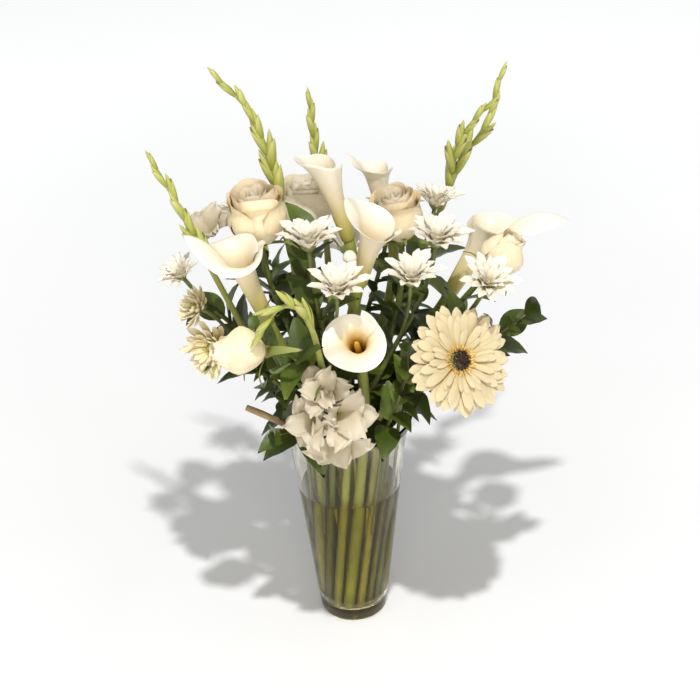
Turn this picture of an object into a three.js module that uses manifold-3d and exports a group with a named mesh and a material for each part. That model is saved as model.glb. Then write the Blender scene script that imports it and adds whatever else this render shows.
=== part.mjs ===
// Lilies in a vase: an arranged bunch of calla lilies, roses, daisy chrysanthemums, a gerbera
// and gladiolus spikes, standing in a tapered glass vase that is more than half full of water.
// Millimetres, +Z up. The origin is the middle of the vase's flat underside, and the front of
// the bunch faces -Y. Heights of flowers are given above the vase's rim, so they rise with it.

import * as THREE from 'three';
import { mergeVertices } from 'three/addons/utils/BufferGeometryUtils.js';
import Module from 'manifold-3d';

const wasm = await Module();
wasm.setup();

// ---- Driving dimensions -------------------------------------------------------------------

const VASE_HEIGHT = 230;
const VASE_BASE_RADIUS = 33;
const VASE_SHOULDER_RADIUS = 57.5;
const VASE_HEEL = 6;
const LIP_HEIGHT = 15;
const LIP_FLARE = 6;
const LIP_ROUND = 1;
const GLASS_WALL = 3;
const GLASS_FLOOR = 14;
const WATER_DEPTH = 136;

const FIT_GAP = 0.4;
const WATER_SIDE_GAP = 0.9;
const STEM_FOOT_GAP = 2;
const CALLA_GLASS_GAP = 0.9;

const CALLA_STEM_RADIUS = 5;
const ROSE_STEM_RADIUS = 3.2;
const GERBERA_STEM_RADIUS = 3.5;
const SPRAY_STEM_RADIUS = 2.6;
const SPRAY_BRANCH_RADIUS = 1.6;
const GLADIOLUS_STEM_RADIUS = 3.8;
const GLADIOLUS_TIP_RADIUS = 2;
const SPRIG_STEM_RADIUS = 1.7;

const CALLA_WALL = 2;
const CALLA_NECK_RADIUS = 7.5;
const SPADIX_RADIUS = 3;
const SPADIX_LENGTH = 48;
const MUM_HEAD_DEPTH = 9;
const GERBERA_RADIUS = 50;
const GERBERA_HEAD_DEPTH = 11;
const GERBERA_DISC_RADIUS = 11;
const LEAF_THICKNESS = 1.2;

const VASE_SEGMENTS = 32;
const WATER_SEGMENTS = 24;
const STEM_SIDES = 6;
const THIN_STEM_SIDES = 5;
const STEM_STEPS = 9;
const BLOOM_SEGMENTS = 12;

// The stems stand in rings and all lean the same way round, as in a hand-tied spiral. A ring's
// insets are measured from the glass at the floor and at the shoulder. The stems of the outer
// ring are listed in order, because at the floor a thick one takes more room than a thin one.
const OUTER_STEM_RADII = [
  GLADIOLUS_STEM_RADIUS, SPRAY_STEM_RADIUS, CALLA_STEM_RADIUS, ROSE_STEM_RADIUS,
  GLADIOLUS_STEM_RADIUS, CALLA_STEM_RADIUS, GERBERA_STEM_RADIUS, SPRAY_STEM_RADIUS,
  ROSE_STEM_RADIUS, CALLA_STEM_RADIUS, GLADIOLUS_STEM_RADIUS, CALLA_STEM_RADIUS,
  SPRAY_STEM_RADIUS, GLADIOLUS_STEM_RADIUS, SPRAY_STEM_RADIUS, GLADIOLUS_STEM_RADIUS,
  SPRAY_STEM_RADIUS,
];
const OUTER_RING = {
  count: OUTER_STEM_RADII.length,
  first: -173,
  footInset: CALLA_STEM_RADIUS + CALLA_GLASS_GAP,
  rimInset: 13.5,
  twist: 38,
};
const INNER_RING = { count: 7, first: -105, footInset: 17.5, rimInset: 28.5, twist: 26 };
const SPRIG_RING = { count: 16, first: -161.75, footInset: 3.4, rimInset: 3.6, twist: 12 };
const INNER_SPRIG_RING = { count: 1, first: 170, footInset: 17.4, rimInset: 21, twist: 17 };
const SPRIG_FOOT_HEIGHT = 112;

// ---- Materials ----------------------------------------------------------------------------

const material = (color, roughness, extra = {}) =>
  new THREE.MeshStandardMaterial({ color, roughness, metalness: 0, ...extra });

const GLASS = material(0xdfe6e4, 0.05, { transparent: true, opacity: 0.3 });
const WATER = material(0xa9ad6c, 0.05, { transparent: true, opacity: 0.5 });
const IVORY = material(0xf1e9d6, 0.5);
const CREAM = material(0xf3dcc2, 0.6);
const WHITE = material(0xf4f1ea, 0.6);
const GERBERA_CREAM = material(0xf1e3bd, 0.6);
const FRESH_GREEN = material(0x8fae4e, 0.5);
const STEM_GREEN = material(0x5f7f33, 0.5);
const LEAF_GREEN = material(0x24451f, 0.35);

// ---- Small helpers ------------------------------------------------------------------------

const vector = ([x, y, z]) => new THREE.Vector3(x, y, z);
const aboveRim = ([x, y, height]) => new THREE.Vector3(x, y, VASE_HEIGHT + height);
const direction = (numbers) => vector(numbers).normalize();
const radians = THREE.MathUtils.degToRad;
const smoothstep = THREE.MathUtils.smoothstep;

// Merges shared corners and turns a shape that came out inside out.
function closed(source) {
  const bare = source.clone();
  bare.deleteAttribute('normal');
  bare.deleteAttribute('uv');
  const merged = mergeVertices(bare, 1e-4);
  const corners = merged.index.array;
  const place = merged.getAttribute('position');
  const [a, b, c] = [new THREE.Vector3(), new THREE.Vector3(), new THREE.Vector3()];
  const kept = [];
  let volume = 0;
  for (let i = 0; i < corners.length; i += 3) {
    const [p, q, r] = corners.slice(i, i + 3);
    if (p === q || q === r || r === p) continue;
    kept.push(p, q, r);
    a.fromBufferAttribute(place, p);
    b.fromBufferAttribute(place, q);
    c.fromBufferAttribute(place, r);
    volume += a.dot(b.cross(c));
  }
  merged.setIndex(volume < 0 ? kept.reverse() : kept);
  return merged;
}

function toSolid(geometry) {
  const shape = closed(geometry);
  return new wasm.Manifold(new wasm.Mesh({
    numProp: 3,
    vertProperties: new Float32Array(shape.getAttribute('position').array),
    triVerts: new Uint32Array(shape.index.array),
  }));
}

function toGeometry(solid) {
  const { vertProperties, triVerts } = solid.getMesh();
  const geometry = new THREE.BufferGeometry();
  geometry.setAttribute('position', new THREE.BufferAttribute(vertProperties, 3));
  geometry.setIndex(new THREE.BufferAttribute(triVerts, 1));
  return geometry;
}

function joined(pieces) {
  return toGeometry(pieces.map(toSolid).reduce((whole, piece) => whole.add(piece)));
}

function cut(piece, cutters) {
  return toGeometry(cutters.map(toSolid).reduce((whole, cutter) => whole.subtract(cutter), toSolid(piece)));
}

// The matrix of a frame at `origin` whose Z runs along `axis` and whose X leans to `side`.
function frameAt(origin, axis, side = new THREE.Vector3(1, 0, 0)) {
  const x = side.clone().addScaledVector(axis, -side.dot(axis));
  if (x.length() < 0.1) x.set(0, 1, 0).addScaledVector(axis, -axis.y);
  x.normalize();
  const y = new THREE.Vector3().crossVectors(axis, x);
  return new THREE.Matrix4().makeBasis(x, y, axis).setPosition(origin);
}

// A solid of revolution about +Z from [radius, height] pairs.
function turned(profile, segments) {
  const points = profile.map(([radius, height]) => new THREE.Vector2(radius, height));
  return new THREE.LatheGeometry(points, segments).rotateX(Math.PI / 2);
}

// A tube with closed ends along a curve.
function tube(path, radius, steps, sides = STEM_SIDES) {
  const corners = [];
  for (let i = 0; i < sides; i += 1) {
    const angle = 2 * Math.PI * i / sides;
    corners.push(new THREE.Vector2(radius * Math.cos(angle), radius * Math.sin(angle)));
  }
  const section = new THREE.Shape(corners);
  return new THREE.ExtrudeGeometry(section, { steps, extrudePath: path, bevelEnabled: false });
}

const bunch = new THREE.Group();

function addPiece(name, geometry, finish, matrix = new THREE.Matrix4()) {
  const mesh = new THREE.Mesh(closed(geometry), finish);
  mesh.name = name;
  mesh.applyMatrix4(matrix);
  bunch.add(mesh);
}

// ---- Vase and water -----------------------------------------------------------------------

const SHOULDER_HEIGHT = VASE_HEIGHT - LIP_HEIGHT;
const WATER_TOP = GLASS_FLOOR + WATER_DEPTH;

function outerGlassRadius(height) {
  const slope = (VASE_SHOULDER_RADIUS - VASE_BASE_RADIUS) / (SHOULDER_HEIGHT - VASE_HEEL);
  return VASE_BASE_RADIUS + slope * (height - VASE_HEEL);
}
const innerGlassRadius = (height) => outerGlassRadius(height) - GLASS_WALL;

function vaseGeometry() {
  const lipRadius = VASE_SHOULDER_RADIUS + LIP_FLARE;
  const heelSteps = 2;
  const profile = [[0, 0]];
  for (let i = 0; i <= heelSteps; i += 1) {
    const angle = Math.PI / 2 * i / heelSteps;
    profile.push([
      VASE_BASE_RADIUS - VASE_HEEL + VASE_HEEL * Math.sin(angle),
      VASE_HEEL - VASE_HEEL * Math.cos(angle),
    ]);
  }
  profile.push([VASE_SHOULDER_RADIUS, SHOULDER_HEIGHT]);
  profile.push([VASE_SHOULDER_RADIUS + LIP_FLARE / 3, VASE_HEIGHT - LIP_HEIGHT / 2]);
  profile.push([lipRadius, VASE_HEIGHT - LIP_ROUND]);
  profile.push([lipRadius - LIP_ROUND, VASE_HEIGHT]);
  profile.push([lipRadius - GLASS_WALL + LIP_ROUND, VASE_HEIGHT]);
  profile.push([lipRadius - GLASS_WALL, VASE_HEIGHT - LIP_ROUND]);
  profile.push([VASE_SHOULDER_RADIUS + LIP_FLARE / 3 - GLASS_WALL, VASE_HEIGHT - LIP_HEIGHT / 2]);
  profile.push([innerGlassRadius(SHOULDER_HEIGHT), SHOULDER_HEIGHT]);
  profile.push([innerGlassRadius(GLASS_FLOOR), GLASS_FLOOR]);
  profile.push([0, GLASS_FLOOR]);
  return turned(profile, VASE_SEGMENTS);
}

// Every stem that reaches into the water leaves a tunnel in it.
const waterTunnels = [];

function waterGeometry() {
  const bottom = GLASS_FLOOR + FIT_GAP;
  const body = turned([
    [0, bottom],
    [innerGlassRadius(bottom) - WATER_SIDE_GAP, bottom],
    [innerGlassRadius(WATER_TOP) - WATER_SIDE_GAP, WATER_TOP],
    [0, WATER_TOP],
  ], WATER_SEGMENTS);
  return cut(body, waterTunnels);
}

// ---- Stems --------------------------------------------------------------------------------

// How far a slot of the outer ring stands round the floor from slot 0, with equal gaps
// between the stems.
function packedTurn(slot) {
  const radii = OUTER_STEM_RADII;
  const widths = radii.map((radius, i) => radius + radii[(i + 1) % radii.length]);
  const sum = (numbers) => numbers.reduce((total, width) => total + width, 0);
  const ringLength = 2 * Math.PI * (innerGlassRadius(STEM_FOOT_HEIGHT) - OUTER_RING.footInset);
  const gap = (ringLength - sum(widths)) / widths.length;
  return 360 * (sum(widths.slice(0, slot)) + gap * slot) / ringLength;
}

// The straight stretch of a stem inside the vase, from its foot to the height of the rim.
function ringStretch(ring, slot, footHeight) {
  const evenTurn = 360 / ring.count * slot;
  const rimAngle = radians(ring.first + evenTurn);
  const footTurn = ring === OUTER_RING ? packedTurn(slot) : evenTurn;
  const footAngle = radians(ring.first + footTurn - ring.twist);
  const footRadius = innerGlassRadius(footHeight) - ring.footInset;
  const rimRadius = innerGlassRadius(SHOULDER_HEIGHT) - ring.rimInset;
  const foot = vector([footRadius * Math.cos(footAngle), footRadius * Math.sin(footAngle), footHeight]);
  const rim = vector([rimRadius * Math.cos(rimAngle), rimRadius * Math.sin(rimAngle), VASE_HEIGHT]);
  return new THREE.LineCurve3(foot, rim);
}

const STEM_FOOT_HEIGHT = GLASS_FLOOR + STEM_FOOT_GAP;
const outerStretch = (slot) => ringStretch(OUTER_RING, slot, STEM_FOOT_HEIGHT);
const innerStretch = (slot) => ringStretch(INNER_RING, slot, STEM_FOOT_HEIGHT);
const sprigStretch = (slot) => ringStretch(SPRIG_RING, slot, SPRIG_FOOT_HEIGHT);
const innerSprigStretch = () => ringStretch(INNER_SPRIG_RING, 0, SPRIG_FOOT_HEIGHT);
const middleStretch = () =>
  new THREE.LineCurve3(vector([0, 0, STEM_FOOT_HEIGHT]), vector([0, 0, VASE_HEIGHT]));

function reserveTunnel(stretch, radius) {
  const sides = STEM_SIDES;
  const tunnelRadius = (radius + FIT_GAP) / Math.cos(Math.PI / sides);
  const lead = stretch.v2.clone().sub(stretch.v1).normalize();
  const start = stretch.v1.clone().addScaledVector(lead, -FIT_GAP);
  waterTunnels.push(tube(new THREE.LineCurve3(start, stretch.v2), tunnelRadius, 1, sides));
}

// The free curve of a stem above the rim, leaving along `stretch` and arriving along `axis`.
function freeCurve(stretch, end, axis, endPull = 0.4, startPull = 0.3) {
  const span = stretch.v2.distanceTo(end);
  const lead = stretch.v2.clone().sub(stretch.v1).normalize();
  return new THREE.CubicBezierCurve3(
    stretch.v2,
    stretch.v2.clone().addScaledVector(lead, span * startPull),
    end.clone().addScaledVector(axis, -span * endPull),
    end,
  );
}

function stemPath(stretch, end, axis, endPull) {
  const path = new THREE.CurvePath();
  path.add(stretch);
  path.add(freeCurve(stretch, end, axis, endPull));
  return path;
}

function singleStem(stretch, radius, end, axis) {
  reserveTunnel(stretch, radius);
  return tube(stemPath(stretch, end, axis), radius, STEM_STEPS);
}

// ---- Calla lilies -------------------------------------------------------------------------

// The spathe is a thin sleeve round the spadix that opens into a flared mouth. `tip` is the
// side where its lip runs out into a point.
function spatheGeometry({ length, mouth, reach, lift = 0.25 }) {
  const hole = SPADIX_RADIUS + FIT_GAP;
  const rows = [
    [0, CALLA_NECK_RADIUS],
    [0.3, CALLA_NECK_RADIUS + mouth * 0.12],
    [0.6, CALLA_NECK_RADIUS + mouth * 0.3],
    [0.85, mouth * 0.75],
    [1, mouth],
  ];
  const outside = rows.map(([share, radius]) => [radius, share * length]);
  const inside = rows.slice(1).reverse().map(([share, radius]) =>
    [Math.max(radius - CALLA_WALL, hole + 1), share * length]);
  const sleeve = turned([...outside, ...inside, [hole, 0], outside[0]], BLOOM_SEGMENTS);
  const place = sleeve.getAttribute('position');
  for (let i = 0; i < place.count; i += 1) {
    const radius = Math.hypot(place.getX(i), place.getY(i));
    const share = place.getZ(i) / length;
    const flare = smoothstep(share, 0.5, 1);
    const towardTip = place.getX(i) / radius;
    const point = ((1 + towardTip) / 2) ** 4;
    const stretched = (radius + reach * flare * point) / radius;
    place.setXYZ(
      i,
      place.getX(i) * stretched,
      place.getY(i) * stretched,
      place.getZ(i) + mouth * lift * flare * towardTip,
    );
  }
  return sleeve;
}

function spadixGeometry() {
  return turned([
    [0, -SPADIX_RADIUS],
    [SPADIX_RADIUS, 0],
    [SPADIX_RADIUS, SPADIX_LENGTH * 0.85],
    [0, SPADIX_LENGTH],
  ], 8);
}

function addCalla({ name, stretch, neck, axis, tip, ...sizes }) {
  const end = aboveRim(neck);
  const along = direction(axis);
  const frame = frameAt(end, along, direction(tip));
  const start = end.clone().addScaledVector(along, FIT_GAP);
  addPiece(`${name}_spathe`, spatheGeometry(sizes), IVORY, frameAt(start, along, direction(tip)));
  const stem = singleStem(stretch, CALLA_STEM_RADIUS, end, along);
  addPiece(`${name}_stem`, joined([stem, spadixGeometry().applyMatrix4(frame)]), FRESH_GREEN);
}

const CALLAS = [
  {
    name: 'calla_left', stretch: outerStretch(2), neck: [-68, -34, 125],
    axis: [-0.3, -0.18, 0.94], tip: [-1, -0.25, -0.1], length: 112, mouth: 26, reach: 14,
  },
  {
    name: 'calla_tall', stretch: innerStretch(4), neck: [8, 26, 174],
    axis: [-0.26, 0.04, 0.96], tip: [-1, 0, 0], length: 94, mouth: 15, reach: 9,
  },
  {
    name: 'calla_back', stretch: outerStretch(11), neck: [48, 62, 160],
    axis: [-0.22, 0.16, 0.96], tip: [-1, 0, 0], length: 80, mouth: 18, reach: 9,
  },
  {
    name: 'calla_centre', stretch: middleStretch(), neck: [16, -30, 158],
    axis: [0.22, -0.16, 0.96], tip: [-1, 0.2, 0], length: 86, mouth: 25, reach: 8,
  },
  {
    name: 'calla_right', stretch: outerStretch(9), neck: [98, 22, 110],
    axis: [0.5, 0.06, 0.86], tip: [1, 0, -0.2], length: 108, mouth: 20, reach: 42, lift: 0.1,
  },
  {
    name: 'calla_front', stretch: outerStretch(5), neck: [14, -56, 100],
    axis: [-0.06, -0.7, 0.71], tip: [-0.5, 0, -1], length: 70, mouth: 30, reach: 6, lift: 0.1,
  },
];
CALLAS.forEach(addCalla);

// ---- Roses --------------------------------------------------------------------------------

function roseGeometry({ length, radius }) {
  return turned([
    [0, 0],
    [radius * 0.3, 1],
    [radius * 0.8, length * 0.2],
    [radius, length * 0.5],
    [radius * 0.86, length * 0.85],
    [radius * 0.55, length],
    [radius * 0.3, length * 0.86],
    [0, length * 0.9],
  ], BLOOM_SEGMENTS);
}

function addRose({ name, stretch, neck, axis, ...sizes }) {
  const end = aboveRim(neck);
  const along = direction(axis);
  const start = end.clone().addScaledVector(along, FIT_GAP);
  addPiece(`${name}_bloom`, roseGeometry(sizes), CREAM, frameAt(start, along));
  addPiece(`${name}_stem`, singleStem(stretch, ROSE_STEM_RADIUS, end, along), STEM_GREEN);
}

const ROSES = [
  {
    name: 'rose_left', stretch: innerStretch(6), neck: [-72, 6, 184],
    axis: [-0.08, -0.08, 1], length: 60, radius: 27,
  },
  {
    name: 'rose_centre', stretch: innerStretch(2), neck: [56, 23, 174],
    axis: [-0.12, -0.1, 1], length: 56, radius: 22,
  },
  {
    name: 'rose_right', stretch: outerStretch(8), neck: [134, -14, 158],
    axis: [0.55, -0.1, 0.83], length: 46, radius: 23,
  },
  {
    name: 'rose_front', stretch: outerStretch(3), neck: [-70, -90, 128],
    axis: [-0.92, -0.3, 0.2], length: 48, radius: 22,
  },
  {
    name: 'rose_back', stretch: innerStretch(5), neck: [-32, 66, 162],
    axis: [0, 0.1, 1], length: 54, radius: 25,
  },
];
ROSES.forEach(addRose);

// ---- Daisy heads --------------------------------------------------------------------------

// A daisy head stands on a small green cup at the origin. Every second edge corner is pulled
// in, which parts the petals.
function daisyGeometry({ radius, depth, eye, petals = 9, notch = 0.78 }) {
  const rimHeight = depth + radius * 0.06;
  const head = turned([
    [0, 0],
    [eye * 0.8, depth * 0.5],
    [radius, rimHeight],
    [radius * 0.97, rimHeight + 2],
    [eye, depth - 1],
    [0, depth + 1],
  ], petals * 2);
  const place = head.getAttribute('position');
  for (let i = 0; i < place.count; i += 1) {
    const [x, y] = [place.getX(i), place.getY(i)];
    if (Math.hypot(x, y) < radius * 0.9) continue;
    const step = Math.round((Math.atan2(y, x) / Math.PI + 2) * petals);
    const pull = step % 2 ? notch : 1;
    place.setXYZ(i, x * pull, y * pull, place.getZ(i));
  }
  return head;
}

function addDaisy(name, sizes, centre, axis, finish) {
  const along = direction(axis);
  const neck = aboveRim(centre).addScaledVector(along, -sizes.depth);
  const start = neck.clone().addScaledVector(along, FIT_GAP);
  addPiece(name, daisyGeometry(sizes), finish, frameAt(start, along));
  return { neck, along };
}

const gerbera = addDaisy(
  'gerbera_bloom',
  { radius: GERBERA_RADIUS, depth: GERBERA_HEAD_DEPTH, eye: GERBERA_DISC_RADIUS, petals: 13, notch: 0.85 },
  [104, -98, 116],
  [0.36, -0.74, 0.56],
  GERBERA_CREAM,
);
addPiece(
  'gerbera_stem',
  singleStem(outerStretch(6), GERBERA_STEM_RADIUS, gerbera.neck, gerbera.along),
  FRESH_GREEN,
);

// A bud or small closed flower, standing on the origin and pointing up.
function budGeometry(length, radius, segments = 6) {
  return turned([
    [0, 0],
    [radius, length * 0.4],
    [radius * 0.6, length * 0.8],
    [0, length],
  ], segments);
}

// A spray is one stem that ends in its first head, with a branch to each further head or bud.
function addSpray({ name, stretch, heads, buds = [], endPull }) {
  const necks = heads.map(({ at, axis, radius = 35, tag }) =>
    addDaisy(`mum_${tag}`, { radius, depth: MUM_HEAD_DEPTH, eye: 7 }, at, axis, WHITE));
  const [main, ...others] = necks;
  reserveTunnel(stretch, SPRAY_STEM_RADIUS);
  const free = freeCurve(stretch, main.neck, main.along, endPull);
  const pieces = [tube(stemPath(stretch, main.neck, main.along, endPull), SPRAY_STEM_RADIUS, STEM_STEPS)];
  const branch = (end, along, share) => {
    const fork = free.getPoint(share);
    const lead = free.getTangent(share);
    const span = fork.distanceTo(end);
    const curve = new THREE.CubicBezierCurve3(
      fork,
      fork.clone().addScaledVector(lead, span * 0.3),
      end.clone().addScaledVector(along, -span * 0.35),
      end,
    );
    pieces.push(tube(curve, SPRAY_BRANCH_RADIUS, 5));
  };
  others.forEach(({ neck, along }, i) => branch(neck, along, heads[i + 1].fork ?? 0.35));
  buds.forEach(({ at, axis, length, radius, fork = 0.5 }) => {
    const along = direction(axis);
    branch(aboveRim(at), along, fork);
    const foot = aboveRim(at).addScaledVector(along, -1);
    pieces.push(budGeometry(length, radius).applyMatrix4(frameAt(foot, along)));
  });
  addPiece(name, joined(pieces), STEM_GREEN);
}

const SPRAYS = [
  {
    name: 'mum_spray_middle', stretch: innerStretch(0),
    heads: [
      { tag: 'middle_upper', at: [-28, -40, 210], axis: [-0.05, 0.03, 1] },
      { tag: 'middle_lower', at: [-4, -84, 186], axis: [0, -0.15, 1] },
    ],
    buds: [{ at: [8, -46, 192], axis: [0.1, -0.2, 1], length: 13, radius: 6.5 }],
  },
  {
    name: 'mum_spray_centre_right', stretch: innerStretch(1),
    heads: [
      { tag: 'right_upper', at: [87, -25, 200], axis: [0.1, -0.12, 1] },
      { tag: 'right_middle', at: [62, -68, 186], axis: [0.05, -0.12, 1], radius: 34 },
    ],
  },
  {
    name: 'mum_spray_right', stretch: outerStretch(7),
    heads: [
      { tag: 'far_right', at: [130, -68, 178], axis: [0.2, -0.45, 0.87], radius: 33 },
    ],
  },
  {
    name: 'mum_spray_low_left', stretch: outerStretch(1), endPull: 0.1,
    heads: [
      { tag: 'low_left', at: [-122, -40, 102], axis: [-0.45, -0.8, 0.2], radius: 31 },
      { tag: 'low_left_upper', at: [-136, -30, 142], axis: [-0.75, -0.3, 0.55], radius: 22, fork: 0.5 },
    ],
  },
  {
    name: 'mum_spray_far_left', stretch: outerStretch(16),
    heads: [
      { tag: 'far_left', at: [-148, -6, 164], axis: [-0.45, -0.2, 0.85], radius: 24 },
    ],
  },
  {
    name: 'mum_spray_back_right', stretch: innerStretch(3),
    heads: [
      { tag: 'back_right', at: [90, 48, 200], axis: [0.15, 0.1, 1], radius: 28 },
    ],
  },
  {
    name: 'mum_spray_back', stretch: outerStretch(12),
    heads: [
      { tag: 'back_upper', at: [50, 108, 160], axis: [0.15, 0.55, 0.8], radius: 33 },
      { tag: 'back_lower', at: [6, 124, 112], axis: [-0.1, 0.8, 0.55], radius: 33, fork: 0.25 },
    ],
  },
  {
    name: 'mum_spray_back_left', stretch: outerStretch(14),
    heads: [
      { tag: 'back_left', at: [-92, 84, 176], axis: [-0.25, 0.3, 0.9], radius: 33 },
    ],
  },
];
SPRAYS.forEach(addSpray);

// ---- Gladiolus spikes ---------------------------------------------------------------------

// Buds stand in two rows along the upper stem and shrink towards its tip.
function spikeBuds(curve, { from, count, size, fan }) {
  const buds = [];
  for (let i = 0; i < count; i += 1) {
    const share = from + (1 - from) * i / count;
    const along = curve.getTangent(share);
    const side = direction(fan).multiplyScalar(i % 2 ? -1 : 1);
    side.addScaledVector(along, -side.dot(along)).normalize();
    const lean = along.clone().addScaledVector(side, 0.4).normalize();
    const shrink = 1 - 0.6 * i / count;
    const length = size * shrink;
    buds.push(budGeometry(length, length * 0.19, 5).applyMatrix4(frameAt(curve.getPoint(share), lean)));
  }
  const end = curve.getPoint(1).addScaledVector(curve.getTangent(1), -size * 0.1);
  buds.push(budGeometry(size * 0.5, size * 0.11, 5).applyMatrix4(frameAt(end, curve.getTangent(1))));
  return buds;
}

function addSpike({ name, stretch, points, branch, ...buds }) {
  reserveTunnel(stretch, GLADIOLUS_STEM_RADIUS);
  const knots = points.map(aboveRim);
  const lower = new THREE.CurvePath();
  lower.add(stretch);
  lower.add(freeCurve(stretch, knots[0], knots[1].clone().sub(knots[0]).normalize()));
  const upper = new THREE.CatmullRomCurve3(knots);
  const backed = knots[0].clone().addScaledVector(upper.getTangent(0), -GLADIOLUS_STEM_RADIUS);
  const thin = new THREE.CatmullRomCurve3([backed, ...knots]);
  const pieces = [
    tube(lower, GLADIOLUS_STEM_RADIUS, STEM_STEPS),
    tube(thin, GLADIOLUS_TIP_RADIUS, STEM_STEPS, THIN_STEM_SIDES),
    ...spikeBuds(upper, buds),
  ];
  if (branch) {
    const side = new THREE.CatmullRomCurve3(branch.points.map(aboveRim));
    pieces.push(tube(side, GLADIOLUS_TIP_RADIUS, 4, THIN_STEM_SIDES), ...spikeBuds(side, branch));
  }
  addPiece(name, joined(pieces), FRESH_GREEN);
}

const SPIKES = [
  {
    name: 'gladiolus_left', stretch: outerStretch(0), from: 0.42, count: 5, size: 34, fan: [0, 0.3, 1],
    points: [[-98, -10, 118], [-122, -8, 177], [-145, -5, 235], [-165, 0, 278]],
  },
  {
    name: 'gladiolus_tall_left', stretch: outerStretch(15),
    from: 0.3, count: 7, size: 38, fan: [1, -0.2, 0.3],
    points: [[-50, 32, 190], [-62, 38, 256], [-78, 40, 303], [-106, 40, 338]],
  },
  {
    name: 'gladiolus_back', stretch: outerStretch(13), from: 0.3, count: 5, size: 36, fan: [1, 0.2, 0],
    points: [[-16, 96, 186], [-20, 103, 232], [-23, 107, 276]],
  },
  {
    name: 'gladiolus_right', stretch: outerStretch(10), from: 0.35, count: 7, size: 36, fan: [-1, 0.3, 0.6],
    points: [[98, 78, 178], [116, 76, 226], [138, 75, 262], [153, 77, 314]],
    branch: {
      points: [[106, 77, 200], [113, 62, 252], [139, 52, 293]],
      from: 0.3, count: 4, size: 32, fan: [-1, 0, 0.6],
    },
  },
  {
    name: 'gladiolus_arching', stretch: outerStretch(4), from: 0.45, count: 6, size: 26, fan: [0, 0.4, 1],
    points: [[-20, -78, 100], [-26, -100, 150], [-36, -112, 182], [-54, -116, 188], [-74, -116, 160]],
  },
];
SPIKES.forEach(addSpike);

// Open gladiolus florets: ruffled trumpets that grow from one side of a spike.
function floretGeometry(radius, depth) {
  const trumpet = turned([
    [0, -depth],
    [radius * 0.25, -depth * 0.7],
    [radius * 0.5, -depth * 0.1],
    [radius, radius * 0.12],
    [radius * 0.96, radius * 0.12 + 2],
    [radius * 0.35, 0],
    [0, -depth * 0.3],
  ], BLOOM_SEGMENTS);
  const place = trumpet.getAttribute('position');
  for (let i = 0; i < place.count; i += 1) {
    const [x, y] = [place.getX(i), place.getY(i)];
    const ruffle = 1 + 0.12 * Math.cos(3 * Math.atan2(y, x)) * Math.hypot(x, y) / radius;
    place.setXYZ(i, x * ruffle, y * ruffle, place.getZ(i));
  }
  return trumpet;
}

function addFlorets(name, florets) {
  addPiece(name, joined(florets.map(({ at, axis, radius, depth }) =>
    floretGeometry(radius, depth).applyMatrix4(frameAt(aboveRim(at), direction(axis))))), WHITE);
}

addFlorets('gladiolus_florets_front', [
  { at: [-22, -104, 92], axis: [-0.2, -0.75, 0.6], radius: 22, depth: 16 },
  { at: [-2, -106, 66], axis: [0.35, -0.85, 0.35], radius: 26, depth: 18 },
  { at: [-34, -104, 58], axis: [-0.45, -0.85, 0.25], radius: 24, depth: 18 },
  { at: [-12, -106, 34], axis: [0, -0.95, -0.1], radius: 26, depth: 18 },
]);
addFlorets('gladiolus_florets_left', [
  { at: [-122, 19, 200], axis: [-0.3, -0.3, 0.85], radius: 20, depth: 18 },
]);

// ---- Leaf sprigs --------------------------------------------------------------------------

// A pointed oval leaf that grows from the origin along +X and lies flat.
function leafGeometry(length) {
  const half = length * 0.26;
  const outline = [
    [0, 0.6], [length * 0.3, half], [length * 0.7, half * 0.75], [length, 0],
    [length * 0.7, -half * 0.75], [length * 0.3, -half], [0, -0.6],
  ].map(([x, y]) => new THREE.Vector2(x, y));
  const blade = new THREE.Shape(outline);
  const leaf = new THREE.ExtrudeGeometry(blade, { depth: LEAF_THICKNESS, bevelEnabled: false });
  return leaf.translate(-1, 0, -LEAF_THICKNESS / 2);
}

// Leaves alternate from side to side of a sprig and the last one ends it.
function addSprig({ name, stretch, points, leaves, leafLength, from = 0.3, face = [0, -0.4, 1], twig }) {
  const leafy = new THREE.CatmullRomCurve3([stretch.v2, ...points.map(aboveRim)]);
  const route = new THREE.CurvePath();
  route.add(stretch);
  route.add(leafy);
  const pieces = [tube(route, SPRIG_STEM_RADIUS, STEM_STEPS, THIN_STEM_SIDES)];
  for (let i = 0; i < leaves; i += 1) {
    const share = leaves > 1 ? from + (1 - from) * i / (leaves - 1) : 1;
    const along = leafy.getTangent(share);
    const side = new THREE.Vector3().crossVectors(direction(face), along).normalize();
    const turn = i === leaves - 1 ? 0 : (i % 2 ? -1 : 1);
    const reach = along.clone().addScaledVector(side, 1.2 * turn).normalize();
    const normal = direction(face).addScaledVector(reach, -direction(face).dot(reach)).normalize();
    const frame = new THREE.Matrix4()
      .makeBasis(reach, new THREE.Vector3().crossVectors(normal, reach), normal)
      .setPosition(leafy.getPoint(share));
    pieces.push(leafGeometry(leafLength).applyMatrix4(frame));
  }
  if (twig) {
    const fork = leafy.getPoint(twig.fork);
    pieces.push(tube(new THREE.LineCurve3(fork, aboveRim(twig.end)), twig.radius, 1));
  }
  reserveTunnel(stretch, SPRIG_STEM_RADIUS);
  addPiece(name, joined(pieces), LEAF_GREEN);
}

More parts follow.
